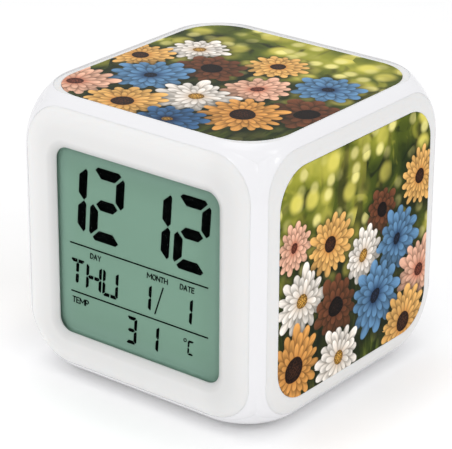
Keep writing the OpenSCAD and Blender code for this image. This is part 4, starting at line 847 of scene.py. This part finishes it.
def picture_frame(name, node, axes, origin, panel_h, body_h, hole_w, hole_h, hole_r, steps, sink=None):
    """Side or top panel: rolled edge, pocket with a softened rim, closed back and a locating lip."""
    verts, faces = [], []
    rings = face_rings(panel_h, body_h, sink)
    first, rim = SEAM_ROLL * EDGE_SHARES[-1][0] - CLOSE, POCKET_RIM[0][0]
    room = (PANEL_W - hole_w) / 2 - rim
    for share in [k / steps for k in range(1, steps)]:
        inset = first + (room - first) * share
        a = outline(PANEL_W - 2 * inset, panel_h - 2 * inset, PANEL_R - inset)
        b = outline(hole_w + 2 * rim, hole_h + 2 * rim, hole_r + rim)
        ring = [(p[0] * (1 - share) + q[0] * share, p[1] * (1 - share) + q[1] * share) for p, q in zip(a, b)]
        rings.append([(x, y, -surface(x, y, body_h, sink)) for x, y in ring])
    for out, low in POCKET_RIM:
        rings.append(ring_at(hole_w + 2 * out, hole_h + 2 * out, hole_r + out,
                             lambda x, y: surface(x, y, body_h, sink) + low))
    rings.append(ring_at(hole_w, hole_h, hole_r, PICTURE_T + (sink or 0)))
    n = len(rings[0])
    loft(verts, faces, rings, closed=False)
    faces.append(tuple(range(len(verts) - n, len(verts))))
    faces.append(tuple(range(n - 1, -1, -1)))
    lip_w, lip_l = PANEL_W - 2 * LEDGE_W - 2 * GAP, panel_h - 2 * LEDGE_W - 2 * GAP
    end = PANEL_T + LIP_H
    loft(verts, faces, [ring_at(lip_w - 2 * t, lip_l - 2 * t, LEDGE_R - t, depth)
                        for t, depth in ((0, PANEL_T), (0, end - LIP_CUT), (LIP_CUT, end), (LIP_T, end),
                                         (LIP_T, PANEL_T))])
    piece(name, verts, faces, axes, origin, node, "milky_panel")


front_panel()
for name, s in (("right", 1), ("left", -1)):
    picture_frame(name + "_frame", name + "_panel", ((0, s, 0), (0, 0, 1), (s, 0, 0)),
                  (s * BODY_W / 2, 0, MID_Z), PANEL_H, BODY_H, SIDE_W, SIDE_H, SIDE_R, steps=8)
picture_frame("top_frame", "top_panel", ((1, 0, 0), (0, 1, 0), (0, 0, 1)), (0, 0, TOP_Z), PANEL_D, BODY_D,
              TOP_W, TOP_D, TOP_R, steps=2, sink=TOP_SINK)


# Camera, light, floor

# The camera: where it looks from in degrees and millimetres, its focal length in the photo's pixels, and
# the point that it looks at, to the right of the clock's middle and above the floor
AZ, EL, ROLL, DIST = 38.12, 23.34, 0.33, 593.0
FOCAL, PHOTO_W, SENSOR = 2249.0, 452, 36.0
TARGET_X, TARGET_Z = -1.55, 36.03 + FOOT_H
# Softboxes: place, point aimed at, side and power; and the studio's even light
LIGHTS = {"key": ((0.0, -0.77, 0.68), (0, 0, 0.07), 0.16, 0.4),
          "fill": ((0.7, 0.0, 0.75), (0, 0, 0.07), 0.16, 0.4),
          "overhead": ((0.0, -0.1, 0.95), (0, 0, 0.04), 0.6, 1.6)}
STUDIO = (0.85, 0.85, 0.855, 1.0)


def set_camera():
    """The camera that the photo was taken with, as fitted to the photo's edges."""
    az, el, roll = math.radians(AZ), math.radians(EL), math.radians(ROLL)
    back = Vector((math.sin(az) * math.cos(el), -math.cos(az) * math.cos(el), math.sin(el)))
    right = Vector((math.cos(az), math.sin(az), 0))
    up = back.cross(right)
    c, s = math.cos(roll), math.sin(roll)
    turned = [right * c + up * s, up * c - right * s, back]
    target = right * TARGET_X * MM + Vector((0, 0, TARGET_Z * MM))
    data = bpy.data.cameras.new("camera")
    data.sensor_width = SENSOR
    data.lens = FOCAL * SENSOR / PHOTO_W
    data.clip_start, data.clip_end = 0.01, 20
    camera = bpy.data.objects.new("camera", data)
    scene.collection.objects.link(camera)
    camera.matrix_world = Matrix.Translation(target + back * DIST * MM) @ Matrix(turned).transposed().to_4x4()
    scene.camera = camera


def softbox(name, place, aim, side, power):
    """A square light that shines at a point."""
    data = bpy.data.lights.new(name, "AREA")
    data.shape = "RECTANGLE"
    data.size = data.size_y = side
    data.energy = power
    lamp = bpy.data.objects.new(name, data)
    scene.collection.objects.link(lamp)
    lamp.location = place
    lamp.rotation_mode = "QUATERNION"
    lamp.rotation_quaternion = (Vector(aim) - Vector(place)).to_track_quat("-Z", "Y")


def set_floor():
    """Pale floor. It gives off a little light ahead of the clock, as the photo's bright sweep does."""
    floor_side, foot_w, foot_r = 6.0, 76.0, 16.0
    ahead_from, ahead_to, near, far = -50.0 * MM, 10.0 * MM, 3.0 * MM, 35.0 * MM
    bpy.ops.mesh.primitive_plane_add(size=floor_side, location=(0, 0, 0))
    floor = bpy.context.object
    floor.name = "floor"
    f = Shader("floor")
    x, y, z = f.split(f.place)
    # The floor's glow is weaker within 35 mm of the clock's footprint, a painted contact shadow, and stronger
    # ahead of the clock, a painted pool of light.
    away = f.product(f.depth(x, y, foot_w, foot_w, foot_r), -1.0)
    ahead = f.span(f.math("SUBTRACT", f.product(x, 0.6), f.product(y, 0.8)), ahead_from, ahead_to, 0.25, 1.0)
    glow = f.product(ahead, f.span(away, near, far, 0.08, 0.24))
    f.set(Base_Color=f.mix(f.noise(f.place, 3.0), (0.93, 0.93, 0.93), (0.95, 0.95, 0.95)), Roughness=0.7)
    f.set(Specular_IOR_Level=0.2, Emission_Color=f.merge(glow, glow, glow), Emission_Strength=1.0)
    floor.data.materials.append(f.mat)


set_camera()
scene.world = bpy.data.worlds.new("studio")
scene.world.use_nodes = True
scene.world.node_tree.nodes["Background"].inputs["Color"].default_value = STUDIO
scene.view_settings.view_transform = "Standard"
scene.view_settings.look = "None"
for name, values in LIGHTS.items():
    softbox(name, *values)
set_floor()
